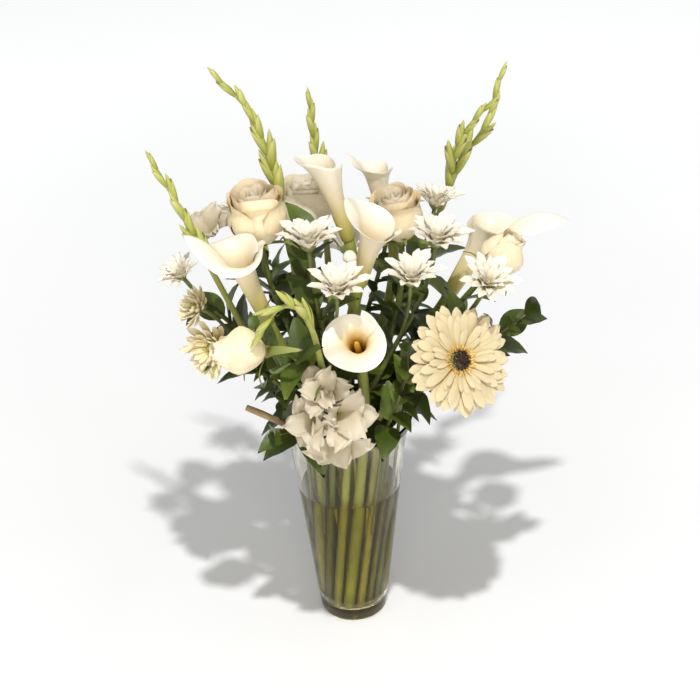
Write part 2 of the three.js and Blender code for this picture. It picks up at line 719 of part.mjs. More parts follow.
const SPRIGS = [
  {
    name: 'leaf_sprig_right', stretch: sprigStretch(7), leaves: 7, leafLength: 38, from: 0.45,
    points: [[84, -34, 56], [142, -42, 108], [168, -42, 128]],
  },
  {
    name: 'leaf_sprig_rim_left', stretch: sprigStretch(2), leaves: 3, leafLength: 34, from: 0.5,
    points: [[-48, -66, 24], [-62, -78, 30]], face: [-0.2, -0.6, 0.8],
    twig: { fork: 0.3, end: [-92, -58, 48], radius: 2.6 },
  },
  {
    name: 'leaf_sprig_front', stretch: sprigStretch(5), leaves: 6, leafLength: 36, from: 0.25,
    points: [[44, -62, 40], [56, -68, 86], [57, -72, 112]], face: [0.3, -0.8, 0.5],
  },
  {
    name: 'leaf_sprig_left', stretch: sprigStretch(1), leaves: 5, leafLength: 30, from: 0.35,
    points: [[-58, -48, 80], [-78, -56, 130]], face: [-0.3, -0.8, 0.5],
  },
  {
    name: 'leaf_sprig_upright', stretch: innerSprigStretch(), leaves: 2, leafLength: 40, from: 0.85,
    points: [[-34, 8, 80], [-30, 8, 150], [-27, 6, 190]], face: [-0.2, 0.9, -0.3],
  },
  {
    name: 'leaf_sprig_back_right', stretch: sprigStretch(10), leaves: 7, leafLength: 40, from: 0.3,
    points: [[50, 72, 60], [80, 98, 100], [100, 112, 112]], face: [0.3, 0.6, 0.7],
  },
  {
    name: 'leaf_sprig_back_left', stretch: sprigStretch(13), leaves: 7, leafLength: 40, from: 0.3,
    points: [[-44, 68, 60], [-62, 98, 100], [-80, 114, 112]], face: [-0.3, 0.6, 0.7],
  },
];
SPRIGS.forEach(addSprig);

addPiece('vase', vaseGeometry(), GLASS);
addPiece('water', waterGeometry(), WATER);

export default bunch;
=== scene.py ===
# %% [markdown]
# # Lilies in a vase
# A florist's bunch: calla lilies, roses, daisy chrysanthemums, a gerbera, gladiolus spikes and
# glossy sprigs in a tapered glass vase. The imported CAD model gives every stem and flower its
# place. Here each one gets its real petals, leaves, glass and finish.

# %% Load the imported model
import math

import bpy
import bmesh
import numpy as np
from mathutils import Matrix, Vector
from mathutils.noise import noise


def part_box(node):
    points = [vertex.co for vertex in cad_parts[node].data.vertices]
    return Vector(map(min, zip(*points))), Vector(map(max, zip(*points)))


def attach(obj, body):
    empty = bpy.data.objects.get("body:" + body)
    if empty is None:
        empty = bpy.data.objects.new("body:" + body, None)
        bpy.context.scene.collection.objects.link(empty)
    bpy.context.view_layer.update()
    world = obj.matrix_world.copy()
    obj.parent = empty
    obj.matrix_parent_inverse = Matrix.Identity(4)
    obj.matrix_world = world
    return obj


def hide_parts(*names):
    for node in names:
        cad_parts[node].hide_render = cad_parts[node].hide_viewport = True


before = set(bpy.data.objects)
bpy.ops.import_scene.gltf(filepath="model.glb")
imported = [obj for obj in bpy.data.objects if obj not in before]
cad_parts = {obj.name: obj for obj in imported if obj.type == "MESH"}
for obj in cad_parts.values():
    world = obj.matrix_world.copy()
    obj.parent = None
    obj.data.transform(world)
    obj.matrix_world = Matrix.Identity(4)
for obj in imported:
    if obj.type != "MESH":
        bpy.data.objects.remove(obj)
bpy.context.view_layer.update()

BODY = "root"
MM = 0.001

# %% [markdown]
# ## Objects, nodes and meshes
# A few helpers keep the rest short. `add_object` puts a thing in the scene. `Nodes` writes
# shader trees and Geometry Nodes trees alike: `node` adds one node and fills its inputs with
# numbers or links. `finished_mesh` turns a drawn mesh's faces outwards and smooths them, but
# keeps the rim of a thin sheet sharp, so that its two faces do not shade into each other.

# %% Helpers
RIM_ANGLE = math.radians(100)
FAINT_BUMP = 0.3


def add_object(name, data):
    thing = bpy.data.objects.new(name, data)
    bpy.context.scene.collection.objects.link(thing)
    return thing


class Nodes:
    def __init__(self, tree):
        self.tree = tree

    def fill(self, made, inputs):
        for key, value in inputs.items():
            if isinstance(value, bpy.types.NodeSocket):
                self.tree.links.new(value, made.inputs[key])
            else:
                made.inputs[key].default_value = value

    def node(self, kind, inputs=None, **settings):
        made = self.tree.nodes.new(kind)
        for key, value in settings.items():
            setattr(made, key, value)
        self.fill(made, inputs or {})
        return made

    def place(self):
        return self.node("ShaderNodeTexCoord").outputs["Object"]

    def noise(self, vector, scale, detail=2.0):
        inputs = {"Vector": vector, "Scale": scale, "Detail": detail}
        return self.node("ShaderNodeTexNoise", inputs).outputs["Fac"]

    def bump(self, height, strength, depth):
        inputs = {"Height": height, "Strength": strength, "Distance": depth}
        return self.node("ShaderNodeBump", inputs).outputs[0]

    def ramp(self, share, stops):
        """stops are (share, colour)."""
        made = self.node("ShaderNodeValToRGB", {"Fac": share})
        elements = made.color_ramp.elements
        while len(elements) < len(stops):
            elements.new(0.5)
        for element, (spot, colour) in zip(elements, stops):
            element.position = spot
            element.color = (*colour, 1)
        return made.outputs["Color"]


def new_material(name):
    """A material, its nodes and its Principled shader."""
    material = bpy.data.materials.new(name)
    material.use_nodes = True
    return material, Nodes(material.node_tree), material.node_tree.nodes["Principled BSDF"]


def finished_mesh(work, name, material=None, sharp_rims=False):
    bmesh.ops.recalc_face_normals(work, faces=work.faces)
    for face in work.faces:
        face.smooth = True
    if sharp_rims:
        for edge in work.edges:
            if len(edge.link_faces) == 2 and edge.calc_face_angle() > RIM_ANGLE:
                edge.smooth = False
    mesh = bpy.data.meshes.new(name)
    work.to_mesh(mesh)
    work.free()
    if material:
        mesh.materials.append(material)
    return mesh


# %% [markdown]
# ## Camera, floor and light
# The camera looks down on the bunch through a long lens and leans a little, so that the bunch
# tips to the left. A camera's matrix is built straight from its right, up and back directions,
# because a look-at constraint would leave no room for the lean.

# %% Camera
CAMERA_LENS = 115.0
CAMERA_DISTANCE = 2.1
LOOK_DOWN = math.radians(32.0)
LEAN = math.radians(2.2)
AIM = Vector((0.0055, 0.0, 0.30))


def add_camera():
    back = Vector((0.0, -math.cos(LOOK_DOWN), math.sin(LOOK_DOWN)))
    right = Vector((1.0, 0.0, 0.0))
    up = Vector((0.0, math.sin(LOOK_DOWN), math.cos(LOOK_DOWN)))
    leaned_right = right * math.cos(LEAN) - up * math.sin(LEAN)
    leaned_up = right * math.sin(LEAN) + up * math.cos(LEAN)
    data = bpy.data.cameras.new("camera")
    data.lens = CAMERA_LENS
    camera = add_object("camera", data)
    turn = Matrix((leaned_right, leaned_up, back)).transposed().to_4x4()
    camera.matrix_world = Matrix.Translation(AIM + back * CAMERA_DISTANCE) @ turn
    bpy.context.scene.camera = camera


add_camera()
print("camera", CAMERA_DISTANCE, "m away")

# %% [markdown]
# A small lamp at a finite height throws a shadow that spreads. Its light falls off with
# distance, so the floor has a faint glow of its own that grows away from the vase. A wide warm
# fill, low in front, reaches the upright petals and hardly touches the floor.

# %% Floor, sky, lamp and fill
FLOOR_HALF = 6.0
FLOOR_GRAIN = 6.0
FLOOR_SHADES = [(0, (0.93, 0.93, 0.93)), (1, (0.97, 0.97, 0.97))]
FLOOR_ROUGHNESS = 0.75
GLOW_START, GLOW_END, FLOOR_GLOW = 0.25, 1.3, 0.34
SKY_COLOUR = (0.955, 0.98, 1.0)
SKY_STRENGTH = 0.41
LAMP_PLACE = (0.10, -0.98, 2.45)
LAMP_RADIUS = 0.045
LAMP_POWER = 168.0
FILL_PLACE = Vector((0.0, -2.9, 1.25))
FILL_TARGET = Vector((0.0, 0.0, 0.3))
FILL_SIZE = (2.2, 1.3)
FILL_COLOUR = (1.0, 0.92, 0.80)
FILL_POWER = 38.0


def add_floor():
    material, nodes, shader = new_material("floor_white")
    place = nodes.place()
    away = nodes.node("ShaderNodeVectorMath", {0: place}, operation="LENGTH").outputs["Value"]
    glow = nodes.node("ShaderNodeMapRange", {
        "Value": away, "From Min": GLOW_START, "From Max": GLOW_END, "To Max": FLOOR_GLOW})
    nodes.fill(shader, {
        "Base Color": nodes.ramp(nodes.noise(place, FLOOR_GRAIN), FLOOR_SHADES),
        "Roughness": FLOOR_ROUGHNESS,
        "Emission Color": (1, 1, 1, 1),
        "Emission Strength": glow.outputs[0],
    })
    h = FLOOR_HALF
    mesh = bpy.data.meshes.new("floor")
    mesh.from_pydata([(-h, -h, 0), (h, -h, 0), (h, h, 0), (-h, h, 0)], [], [(0, 1, 2, 3)])
    mesh.materials.append(material)
    add_object("floor", mesh)


def add_lights():
    world = bpy.data.worlds.new("studio")
    world.use_nodes = True
    bpy.context.scene.world = world
    Nodes(world.node_tree).fill(world.node_tree.nodes["Background"], {
        "Color": (*SKY_COLOUR, 1), "Strength": SKY_STRENGTH})
    lamp = bpy.data.lights.new("lamp", "POINT")
    lamp.energy = LAMP_POWER
    lamp.shadow_soft_size = LAMP_RADIUS
    add_object("lamp", lamp).location = LAMP_PLACE
    fill = bpy.data.lights.new("fill", "AREA")
    fill.shape = "RECTANGLE"
    fill.size, fill.size_y = FILL_SIZE
    fill.color = FILL_COLOUR
    fill.energy = FILL_POWER
    stand = add_object("fill", fill)
    stand.location = FILL_PLACE
    stand.rotation_euler = (FILL_PLACE - FILL_TARGET).to_track_quat("Z", "Y").to_euler()


bpy.context.scene.view_settings.view_transform = "Standard"
add_floor()
add_lights()
print("floor, sky, lamp and fill")

# %% [markdown]
# ## A place for a bloom
# Each bloom is modelled standing on its neck and facing +Z. One matrix then carries it to its
# neck in the bunch and turns it to its axis; the side tells where its own X is to point.

# %% Frame matrix


def frame_matrix(origin, axis, side=(1, 0, 0)):
    z = Vector(axis).normalized()
    x = Vector(side) - z * Vector(side).dot(z)
    if x.length < 0.1:
        x = Vector((0, 1, 0)) - z * z.y
    x.normalize()
    turn = Matrix((x, z.cross(x), z)).transposed().to_4x4()
    return Matrix.Translation(Vector(origin)) @ turn


# %% [markdown]
# ## Geometry Nodes that place copies
# Petals, leaves and buds repeat by a rule, so Geometry Nodes place them. Both trees below take
# a piece, a count and a turn from one copy to the next, and run every other value from the
# first copy to the last. The wobble makes each copy a little different.

# %% What both trees share


class Copies(Nodes):
    def __init__(self, name, pairs, others=()):
        """Each of pairs makes two inputs; others are (label, kind)."""
        super().__init__(bpy.data.node_groups.new(name, "GeometryNodeTree"))
        inputs = [("Piece", "Object"), ("Count", "Int"), ("Turn", "Float"), ("Wobble", "Float"),
                  ("Seed", "Int"), ("Material", "Material"), *others]
        inputs += [(end + pair, "Float") for pair in pairs for end in ("First ", "Last ")]
        sockets = self.tree.interface
        self.keys = {}
        for label, kind in inputs:
            socket = sockets.new_socket(name=label, in_out="INPUT", socket_type="NodeSocket" + kind)
            self.keys[label] = socket.identifier
        sockets.new_socket(name="Geometry", in_out="OUTPUT", socket_type="NodeSocketGeometry")
        self.start = self.tree.nodes.new("NodeGroupInput")
        self.end = self.tree.nodes.new("NodeGroupOutput")
        self.index = self.node("GeometryNodeInputIndex").outputs[0]

    def given(self, label):
        return self.start.outputs[label]

    def math(self, operation, a, b=0.0):
        return self.node("ShaderNodeMath", {0: a, 1: b}, operation=operation).outputs[0]

    def vector(self, operation, a, b):
        made = self.node("ShaderNodeVectorMath", {0: a, 1: b}, operation=operation)
        return made.outputs["Value" if operation == "DOT_PRODUCT" else "Vector"]

    def scaled(self, vector, scale):
        inputs = {0: vector, "Scale": scale}
        return self.node("ShaderNodeVectorMath", inputs, operation="SCALE").outputs["Vector"]

    def unit(self, vector):
        return self.node("ShaderNodeVectorMath", {0: vector}, operation="NORMALIZE").outputs["Vector"]

    def xyz(self, x, y, z):
        return self.node("ShaderNodeCombineXYZ", {0: x, 1: y, 2: z}).outputs[0]

    def between(self, pair, share):
        ends = {0: share, 3: self.given("First " + pair), 4: self.given("Last " + pair)}
        return self.node("ShaderNodeMapRange", ends).outputs[0]

    def scatter(self, low, high, salt):
        seed = self.math("ADD", self.given("Seed"), salt)
        inputs = {2: low, 3: high, "Seed": seed}
        return self.node("FunctionNodeRandomValue", inputs, data_type="FLOAT").outputs[1]

    def jitter(self, salt, times=1.0):
        """A random value for each copy, up to the wobble either way."""
        most = self.math("MULTIPLY", self.given("Wobble"), times)
        return self.scatter(self.math("MULTIPLY", most, -1.0), most, salt)

    def turned(self):
        return self.math("MULTIPLY", self.index, self.given("Turn"))

    def shape_of(self, label):
        return self.node("GeometryNodeObjectInfo", {"Object": self.given(label)}).outputs["Geometry"]

    def finish(self, place, rotation, scale, share):
        """Puts the piece on the places, marks each copy and makes it real."""
        points = self.node("GeometryNodePoints", {"Count": self.given("Count"), "Position": place})
        made = self.node("GeometryNodeInstanceOnPoints", {
            "Points": points.outputs[0], "Instance": self.shape_of("Piece"), "Rotation": rotation,
            "Scale": scale})
        for name, value in (("layer", share), ("tint", self.scatter(0.0, 1.0, 5))):
            made = self.node("GeometryNodeStoreNamedAttribute", {
                "Geometry": made.outputs[0], "Name": name, "Value": value},
                data_type="FLOAT", domain="INSTANCE")
        made = self.node("GeometryNodeRealizeInstances", {"Geometry": made.outputs[0]})
        made = self.node("GeometryNodeSetMaterial", {
            "Geometry": made.outputs[0], "Material": self.given("Material")})
        self.fill(self.end, {0: made.outputs[0]})

    def grown(self, pairs, **settings):
        """Runs the tree once and returns its mesh."""
        carrier = add_object("carrier", bpy.data.meshes.new("carrier"))
        modifier = carrier.modifiers.new("grow", "NODES")
        modifier.node_group = self.tree
        for label, (first, last) in pairs.items():
            modifier[self.keys["First " + label]] = float(first)
            modifier[self.keys["Last " + label]] = float(last)
        for label, value in settings.items():
            modifier[self.keys[label]] = value
        graph = bpy.context.evaluated_depsgraph_get()
        mesh = bpy.data.meshes.new_from_object(carrier.evaluated_get(graph))
        bpy.data.objects.remove(carrier)
        return mesh


# %% [markdown]
# ### The whorl
# A flower head packs its petals by the golden angle: each next petal turns 137.5 degrees, so
# none hides another. From the first petal to the last, the whorl's ring, pitch, size, height
# and rise run from the outer value to the inner one.

# %% Whorl tree
GOLDEN_ANGLE = math.radians(137.508)
HALF_TURN = math.pi


def whorl_tree():
    tree = Copies("whorl", ["Ring", "Pitch", "Size", "Height", "Rise"])
    share = tree.math("DIVIDE", tree.index, tree.given("Count"))
    angle = tree.math("ADD", tree.turned(), tree.jitter(1))
    ring = tree.between("Ring", share)
    place = tree.xyz(tree.math("MULTIPLY", ring, tree.math("COSINE", angle)),
                     tree.math("MULTIPLY", ring, tree.math("SINE", angle)),
                     tree.between("Height", share))
    pitch = tree.math("ADD", tree.between("Pitch", share), tree.jitter(2))
    rotation = tree.xyz(tree.jitter(3), tree.math("MULTIPLY", pitch, -1.0), angle)
    vary = tree.math("ADD", tree.jitter(4), 1.0)
    size = tree.math("MULTIPLY", tree.between("Size", share), vary)
    rise = tree.math("MULTIPLY", tree.between("Rise", share), vary)
    tree.finish(place, rotation, tree.xyz(size, size, rise), share)
    return tree


WHORL = whorl_tree()
print("whorl tree with", len(WHORL.keys), "inputs")


def whorl(petal, material, count, ring, pitch, size, height=(0, 0), turn=GOLDEN_ANGLE,
          rise=None, wobble=0.06, seed=1):
    """Each pair gives the value at the outer petal and at the inner one. Pitch is in degrees.
    Size scales a petal; rise scales it along its own Z and is the same as size by default."""
    pairs = {"Ring": ring, "Pitch": [math.radians(p) for p in pitch], "Size": size,
             "Height": height, "Rise": rise or size}
    return WHORL.grown(pairs, Piece=petal, Count=count, Turn=turn, Wobble=wobble, Seed=seed,
                       Material=material)


# %% [markdown]
# ### The stalk
# Buds and leaves leave a stem one after another, each turned from the last: half a turn for
# two ranks, the golden angle for a spiral. `Fan` is the side where the first one stands, and
# each one leans away from the stem.

# %% Stalk tree


def stalk_tree():
    tree = Copies("stalk", ["Reach", "Lean", "Size"], [("Path", "Object"), ("Fan", "Vector")])
    last = tree.math("MAXIMUM", tree.math("SUBTRACT", tree.given("Count"), 1.0), 1.0)
    share = tree.math("DIVIDE", tree.index, last)
    sample = tree.node("GeometryNodeSampleCurve", {
        "Curves": tree.shape_of("Path"), "Factor": tree.between("Reach", share)},
        mode="FACTOR", use_all_curves=True)
    tangent = tree.unit(sample.outputs["Tangent"])
    fan = tree.given("Fan")
    flat = tree.scaled(tangent, tree.vector("DOT_PRODUCT", tangent, fan))
    first = tree.unit(tree.vector("SUBTRACT", fan, flat))
    turn = tree.math("ADD", tree.turned(), tree.jitter(1, 2.0))
    side = tree.node("ShaderNodeVectorRotate", {
        "Vector": first, "Axis": tangent, "Angle": turn}, rotation_type="AXIS_ANGLE").outputs[0]
    lean = tree.math("ADD", tree.between("Lean", share), tree.jitter(2))
    along, away = tree.math("COSINE", lean), tree.math("SINE", lean)
    out = tree.vector("ADD", tree.scaled(tangent, along), tree.scaled(side, away))
    face = tree.vector("SUBTRACT", tree.scaled(tangent, away), tree.scaled(side, along))
    rotation = tree.node("FunctionNodeAxesToRotation", {0: out, 1: face},
                         primary_axis="X", secondary_axis="Z").outputs[0]
    vary = tree.math("ADD", tree.jitter(4), 1.0)
    size = tree.math("MULTIPLY", tree.between("Size", share), vary)
    tree.finish(sample.outputs["Position"], rotation, tree.xyz(size, size, size), share)
    return tree


STALK = stalk_tree()


def curve_object(points):
    """A smooth curve through the points."""
    data = bpy.data.curves.new("line", "CURVE")
    data.dimensions = "3D"
    data.resolution_u = 8
    spline = data.splines.new("BEZIER")
    spline.bezier_points.add(len(points) - 1)
    for knot, point in zip(spline.bezier_points, points):
        knot.co = point
        knot.handle_left_type = knot.handle_right_type = "AUTO"
    return add_object("line", data)


def stalk(path, piece, material, count, reach, lean, size, turn, fan, wobble, seed):
    """Each pair gives the value at the first copy and at the last one. Lean is in degrees."""
    line = curve_object(path)
    pairs = {"Reach": reach, "Lean": [math.radians(angle) for angle in lean], "Size": size}
    mesh = STALK.grown(pairs, Path=line, Piece=piece, Count=count, Turn=turn, Fan=fan,
                       Wobble=wobble, Seed=seed, Material=material)
    bpy.data.objects.remove(line)
    return mesh


print("stalk tree with", len(STALK.keys), "inputs")

# %% [markdown]
# ## Petals and leaves as thin closed sheets
# One function makes every petal and leaf: a grid whose two faces share their rim, so the sheet
# is closed and its edge is thin. Each corner keeps its place on the sheet in the attribute
# `sheet` (across, along), which the finishes read for veins and colour.

# %% Sheets, lathes and pieces
TEMPLATES = []
ON_AXIS = 1e-7


def sheet_mesh(name, shape, rows, columns, thickness, material=None):
    """shape(across from -1 to 1, along from 0 to 1) gives a point. The face looks to +Z."""
    points = np.array([[shape(2 * c / columns - 1, r / rows) for c in range(columns + 1)]
                       for r in range(rows + 1)])
    down_rows = np.gradient(points, axis=0)
    over_columns = np.gradient(points, axis=1)
    normals = np.cross(down_rows, over_columns)
    normals /= np.maximum(np.linalg.norm(normals, axis=2, keepdims=True), 1e-12)
    work = bmesh.new()
    layer = work.verts.layers.float_vector.new("sheet")
    front, back = {}, {}
    for r in range(rows + 1):
        for c in range(columns + 1):
            top = work.verts.new(points[r, c])
            top[layer] = (2 * c / columns - 1, r / rows, 0)
            front[r, c] = back[r, c] = top
            if 0 < r < rows and 0 < c < columns:
                under = work.verts.new(points[r, c] - normals[r, c] * thickness)
                under[layer] = (2 * c / columns - 1, r / rows, 1)
                back[r, c] = under
    for r in range(rows):
        for c in range(columns):
            work.faces.new((front[r, c], front[r + 1, c], front[r + 1, c + 1], front[r, c + 1]))
            work.faces.new((back[r, c], back[r, c + 1], back[r + 1, c + 1], back[r + 1, c]))
    bmesh.ops.remove_doubles(work, verts=work.verts, dist=1e-6)
    return finished_mesh(work, name, material, sharp_rims=True)


def template(mesh):
    """An object that only serves as a model for copies; it is removed at the end."""
    thing = add_object("template_" + mesh.name, mesh)
    thing.hide_render = True
    TEMPLATES.append(thing)
    return thing


def lathe_mesh(name, profile, segments, material=None):
    """A solid of revolution about Z from (radius, height) pairs that start and end on the axis."""
    work = bmesh.new()
    layer = work.verts.layers.float_vector.new("sheet")
    rings = []
    for i, (radius, height) in enumerate(profile):
        count = 1 if radius < ON_AXIS else segments
        ring = []
        for k in range(count):
            angle = 2 * math.pi * k / segments
            corner = work.verts.new((radius * math.cos(angle), radius * math.sin(angle), height))
            corner[layer] = (2 * k / segments - 1, i / (len(profile) - 1), 0)
            ring.append(corner)
        rings.append(ring)
    for low, high in zip(rings, rings[1:]):
        for k in range(segments):
            after = (k + 1) % segments
            around = [low[k % len(low)], low[after % len(low)],
                      high[after % len(high)], high[k % len(high)]]
            face = list(dict.fromkeys(around))
            if len(face) > 2:
                work.faces.new(face)
    return finished_mesh(work, name, material)


def joined_mesh(name, meshes):
    """Several meshes as one; each keeps its own material."""
    work = bmesh.new()
    slots = []
    for part in meshes:
        start = len(work.faces)
        own = part.materials[part.polygons[0].material_index] if len(part.materials) else None
        if own not in slots:
            slots.append(own)
        work.from_mesh(part)
        work.faces.ensure_lookup_table()
        for face in work.faces[start:]:
            face.material_index = slots.index(own)
    mesh = bpy.data.meshes.new(name)
    work.to_mesh(mesh)
    work.free()
    for own in slots:
        mesh.materials.append(own)
    return mesh


def place_piece(name, mesh, slot, *nodes):
    """Adds a finished piece: it rides on the vase's body and stands for its CAD nodes."""
    piece = add_object(name, mesh)
    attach(piece, BODY)
    if nodes:
        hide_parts(*nodes)


def smoothstep(value, low=0.0, high=1.0):
    share = min(max((value - low) / (high - low), 0.0), 1.0)
    return share * share * (3 - 2 * share)


# %% [markdown]
# ## Finishes
# Petals and leaves share one recipe: a colour that runs along the sheet, fibres that run the
# same way and show in both colour and bump, and a soft blotch from one flower to the next.
# Only the numbers differ, so one function makes them all.

# %% The plant finish
BLOTCH_SCALE = 40.0
FIBRE_DEPTH = 0.0004
PETAL_GLOW_REACH = 0.0015
PETAL_GLOW_COLOUR = (1.0, 0.85, 0.6)
COAT_ROUGHNESS = 0.25


def plant_material(name, stops, roughness=0.5, fibres=(14.0, 1.6), fibre_tint=0.12, bump=0.25,
                   blotch=0.1, subsurface=0.0, coat=0.0, tint=0.08, by_layer=False):
    """stops are (share, colour) along the sheet, or through the whorl if by_layer is set."""
    material, nodes, shader = new_material(name)

    def attribute(label):
        return nodes.node("ShaderNodeAttribute", attribute_name=label).outputs

    sheet = attribute("sheet")["Vector"]
    share = nodes.node("ShaderNodeSeparateXYZ", {0: sheet}).outputs[1]
    if by_layer:
        share = attribute("layer")["Fac"]
    stretched = nodes.node("ShaderNodeMapping", {"Vector": sheet, "Scale": (*fibres, 1.0)})
    fibre = nodes.noise(stretched.outputs[0], 1.0, 3.0)
    cloud = nodes.noise(nodes.place(), BLOTCH_SCALE)
    shade = nodes.ramp(share, stops)
    for source, amount in ((fibre, fibre_tint), (cloud, blotch), (attribute("tint")["Fac"], tint)):
        level = nodes.node("ShaderNodeMapRange", {
            "Value": source, "To Min": 1.0 - amount, "To Max": 1.0 + amount * 0.5}).outputs[0]
        shade = nodes.node("ShaderNodeVectorMath", {0: shade, "Scale": level},
                           operation="SCALE").outputs[0]
    nodes.fill(shader, {
        "Base Color": shade,
        "Normal": nodes.bump(fibre, bump, FIBRE_DEPTH),
        "Roughness": roughness,
        "Subsurface Weight": subsurface,
        "Subsurface Radius": PETAL_GLOW_COLOUR,
        "Subsurface Scale": PETAL_GLOW_REACH,
        "Coat Weight": coat,
        "Coat Roughness": COAT_ROUGHNESS,
    })
    return material


CALLA_FINISH = {"roughness": 0.42, "fibres": (30.0, 1.2), "fibre_tint": 0.07, "bump": 0.2,
                "subsurface": 0.12, "coat": 0.1, "blotch": 0.05, "tint": 0.0}
ROSE_FINISH = {"roughness": 0.6, "fibres": (18.0, 2.0), "fibre_tint": 0.08, "subsurface": 0.2,
               "by_layer": True}
MUM_FINISH = {"roughness": 0.55, "fibres": (8.0, 1.2), "fibre_tint": 0.10, "bump": 0.35,
              "subsurface": 0.2}
CALLA_IVORY = plant_material("calla_ivory", [
    (0.0, (0.36, 0.33, 0.04)), (0.25, (0.62, 0.53, 0.17)), (0.5, (0.83, 0.70, 0.45)),
    (0.72, (0.87, 0.78, 0.60)), (1.0, (0.89, 0.83, 0.69))], **CALLA_FINISH)
CALLA_GOLD = plant_material("calla_gold", [
    (0.0, (0.96, 0.66, 0.16)), (0.45, (0.95, 0.70, 0.26)), (0.62, (0.90, 0.77, 0.48)),
    (0.8, (0.87, 0.80, 0.65)), (1.0, (0.86, 0.80, 0.67))], **CALLA_FINISH)
SPADIX_YELLOW = plant_material("spadix_yellow", [
    (0.0, (0.70, 0.38, 0.04)), (1.0, (0.88, 0.55, 0.08))], roughness=0.7, tint=0.3)
# Both rose finishes run from the outer petals to the heart. The warm cream of the outer petals is the
# rose's own tone; the paler heart is painted light that lifts the shade in the deep cup.
ROSE_CREAM = plant_material("rose_cream", [
    (0.0, (0.95, 0.78, 0.50)), (0.35, (0.97, 0.82, 0.56)), (0.65, (0.98, 0.86, 0.64)),
    (1.0, (0.99, 0.88, 0.70))], **ROSE_FINISH)
ROSE_WHITE = plant_material("rose_white", [
    (0.0, (0.96, 0.84, 0.62)), (0.5, (0.99, 0.90, 0.71)), (1.0, (0.99, 0.92, 0.76))],
    **ROSE_FINISH)
MUM_WHITE = plant_material("mum_white", [
    (0.0, (0.70, 0.64, 0.32)), (0.14, (0.86, 0.78, 0.56)), (0.35, (0.90, 0.83, 0.68)),
    (1.0, (0.91, 0.85, 0.72))], **MUM_FINISH)
MUM_CREAM = plant_material("mum_cream", [
    (0.0, (0.52, 0.43, 0.09)), (0.25, (0.76, 0.65, 0.31)), (0.6, (0.85, 0.74, 0.46)),
    (1.0, (0.88, 0.79, 0.58))], **MUM_FINISH)
MUM_EYE = plant_material("mum_eye", [
    (0.0, (0.50, 0.48, 0.10)), (1.0, (0.76, 0.64, 0.20))], roughness=0.7, tint=0.2, by_layer=True)
GERBERA_CREAM = plant_material("gerbera_cream", [
    (0.0, (0.74, 0.48, 0.14)), (0.28, (0.68, 0.54, 0.28)), (0.7, (0.68, 0.56, 0.33)),
    (1.0, (0.72, 0.60, 0.38))], roughness=0.55, fibres=(9.0, 0.9), bump=0.5, subsurface=0.2)
GERBERA_RING = plant_material("gerbera_ring", [
    (0.0, (0.82, 0.50, 0.08)), (1.0, (0.90, 0.68, 0.25))], roughness=0.7, tint=0.25)
GERBERA_EYE = plant_material("gerbera_eye", [
    (0.0, (0.06, 0.012, 0.008)), (0.6, (0.03, 0.006, 0.005)), (1.0, (0.10, 0.03, 0.012))],
    roughness=0.6, tint=0.5)
# Painted shade: the florets are white, but their colour is dimmed to beige as if they stood in shade. The
# green at the base is their own.
FLORET_WHITE_PAINTED_SHADE = plant_material("floret_white", [
    (0.0, (0.46, 0.43, 0.16)), (0.25, (0.57, 0.49, 0.34)), (1.0, (0.64, 0.56, 0.43))],
    fibres=(22.0, 1.5), fibre_tint=0.08, bump=0.3, subsurface=0.2)
BUD_GREEN = plant_material("bud_green", [
    (0.0, (0.22, 0.26, 0.03)), (0.4, (0.38, 0.41, 0.07)), (0.8, (0.52, 0.52, 0.15)),
    (1.0, (0.62, 0.60, 0.24))], roughness=0.45, fibres=(16.0, 0.8), fibre_tint=0.18, bump=0.4,
    coat=0.1)
LEAF_GLOSS = plant_material("leaf_gloss", [
    (0.0, (0.105, 0.140, 0.014)), (0.5, (0.062, 0.100, 0.007)), (1.0, (0.100, 0.135, 0.014))],
    roughness=0.45, fibres=(10.0, 14.0), fibre_tint=0.4, bump=0.5, coat=0.08, tint=0.6)
SEPAL_GREEN = plant_material("sepal_green", [
    (0.0, (0.17, 0.21, 0.04)), (1.0, (0.32, 0.34, 0.11))], tint=0.2)
print(len(bpy.data.materials), "finishes so far")

# %% [markdown]
# Stems take their fibres from the object's own height instead, stretched far along Z. A second
# noise leaves the darker flecks and pale rubs of a cut stem.

# %% The stem finish
STEM_FIBRES = (900.0, 900.0, 25.0)
STEM_FLECKS = 45.0
STEM_DEPTH = 0.0003


def stem_material(name, light, dark, roughness=0.45, coat=0.15):
    material, nodes, shader = new_material(name)
    place = nodes.place()
    stretched = nodes.node("ShaderNodeMapping", {"Vector": place, "Scale": STEM_FIBRES})
    fibre = nodes.noise(stretched.outputs[0], 1.0)
    share = nodes.noise(place, STEM_FLECKS, 4.0)
    for operation, other in (("ADD", fibre), ("MULTIPLY", 0.5)):
        share = nodes.node("ShaderNodeMath", {0: share, 1: other}, operation=operation).outputs[0]
    nodes.fill(shader, {
        "Base Color": nodes.ramp(share, [(0.35, dark), (0.7, light)]),
        "Normal": nodes.bump(fibre, FAINT_BUMP, STEM_DEPTH),
        "Roughness": roughness,
        "Coat Weight": coat,
    })
    return material


STEM_CALLA = stem_material("stem_calla", (0.33, 0.36, 0.07), (0.20, 0.23, 0.03))
STEM_ROSE = stem_material("stem_rose", (0.14, 0.17, 0.03), (0.07, 0.09, 0.015))
STEM_SPRAY = stem_material("stem_spray", (0.18, 0.20, 0.05), (0.09, 0.11, 0.02))
STEM_GERBERA = stem_material("stem_gerbera", (0.34, 0.34, 0.10), (0.22, 0.23, 0.06))
STEM_SPIKE = stem_material("stem_spike", (0.38, 0.39, 0.09), (0.24, 0.27, 0.05))
STEM_LEAFY = stem_material("stem_leafy", (0.14, 0.15, 0.04), (0.08, 0.09, 0.02))
TWIG_BARK = stem_material("twig_bark", (0.46, 0.33, 0.17), (0.26, 0.17, 0.08), roughness=0.8, coat=0.0)
print(len(bpy.data.materials), "finishes with stems and bark")

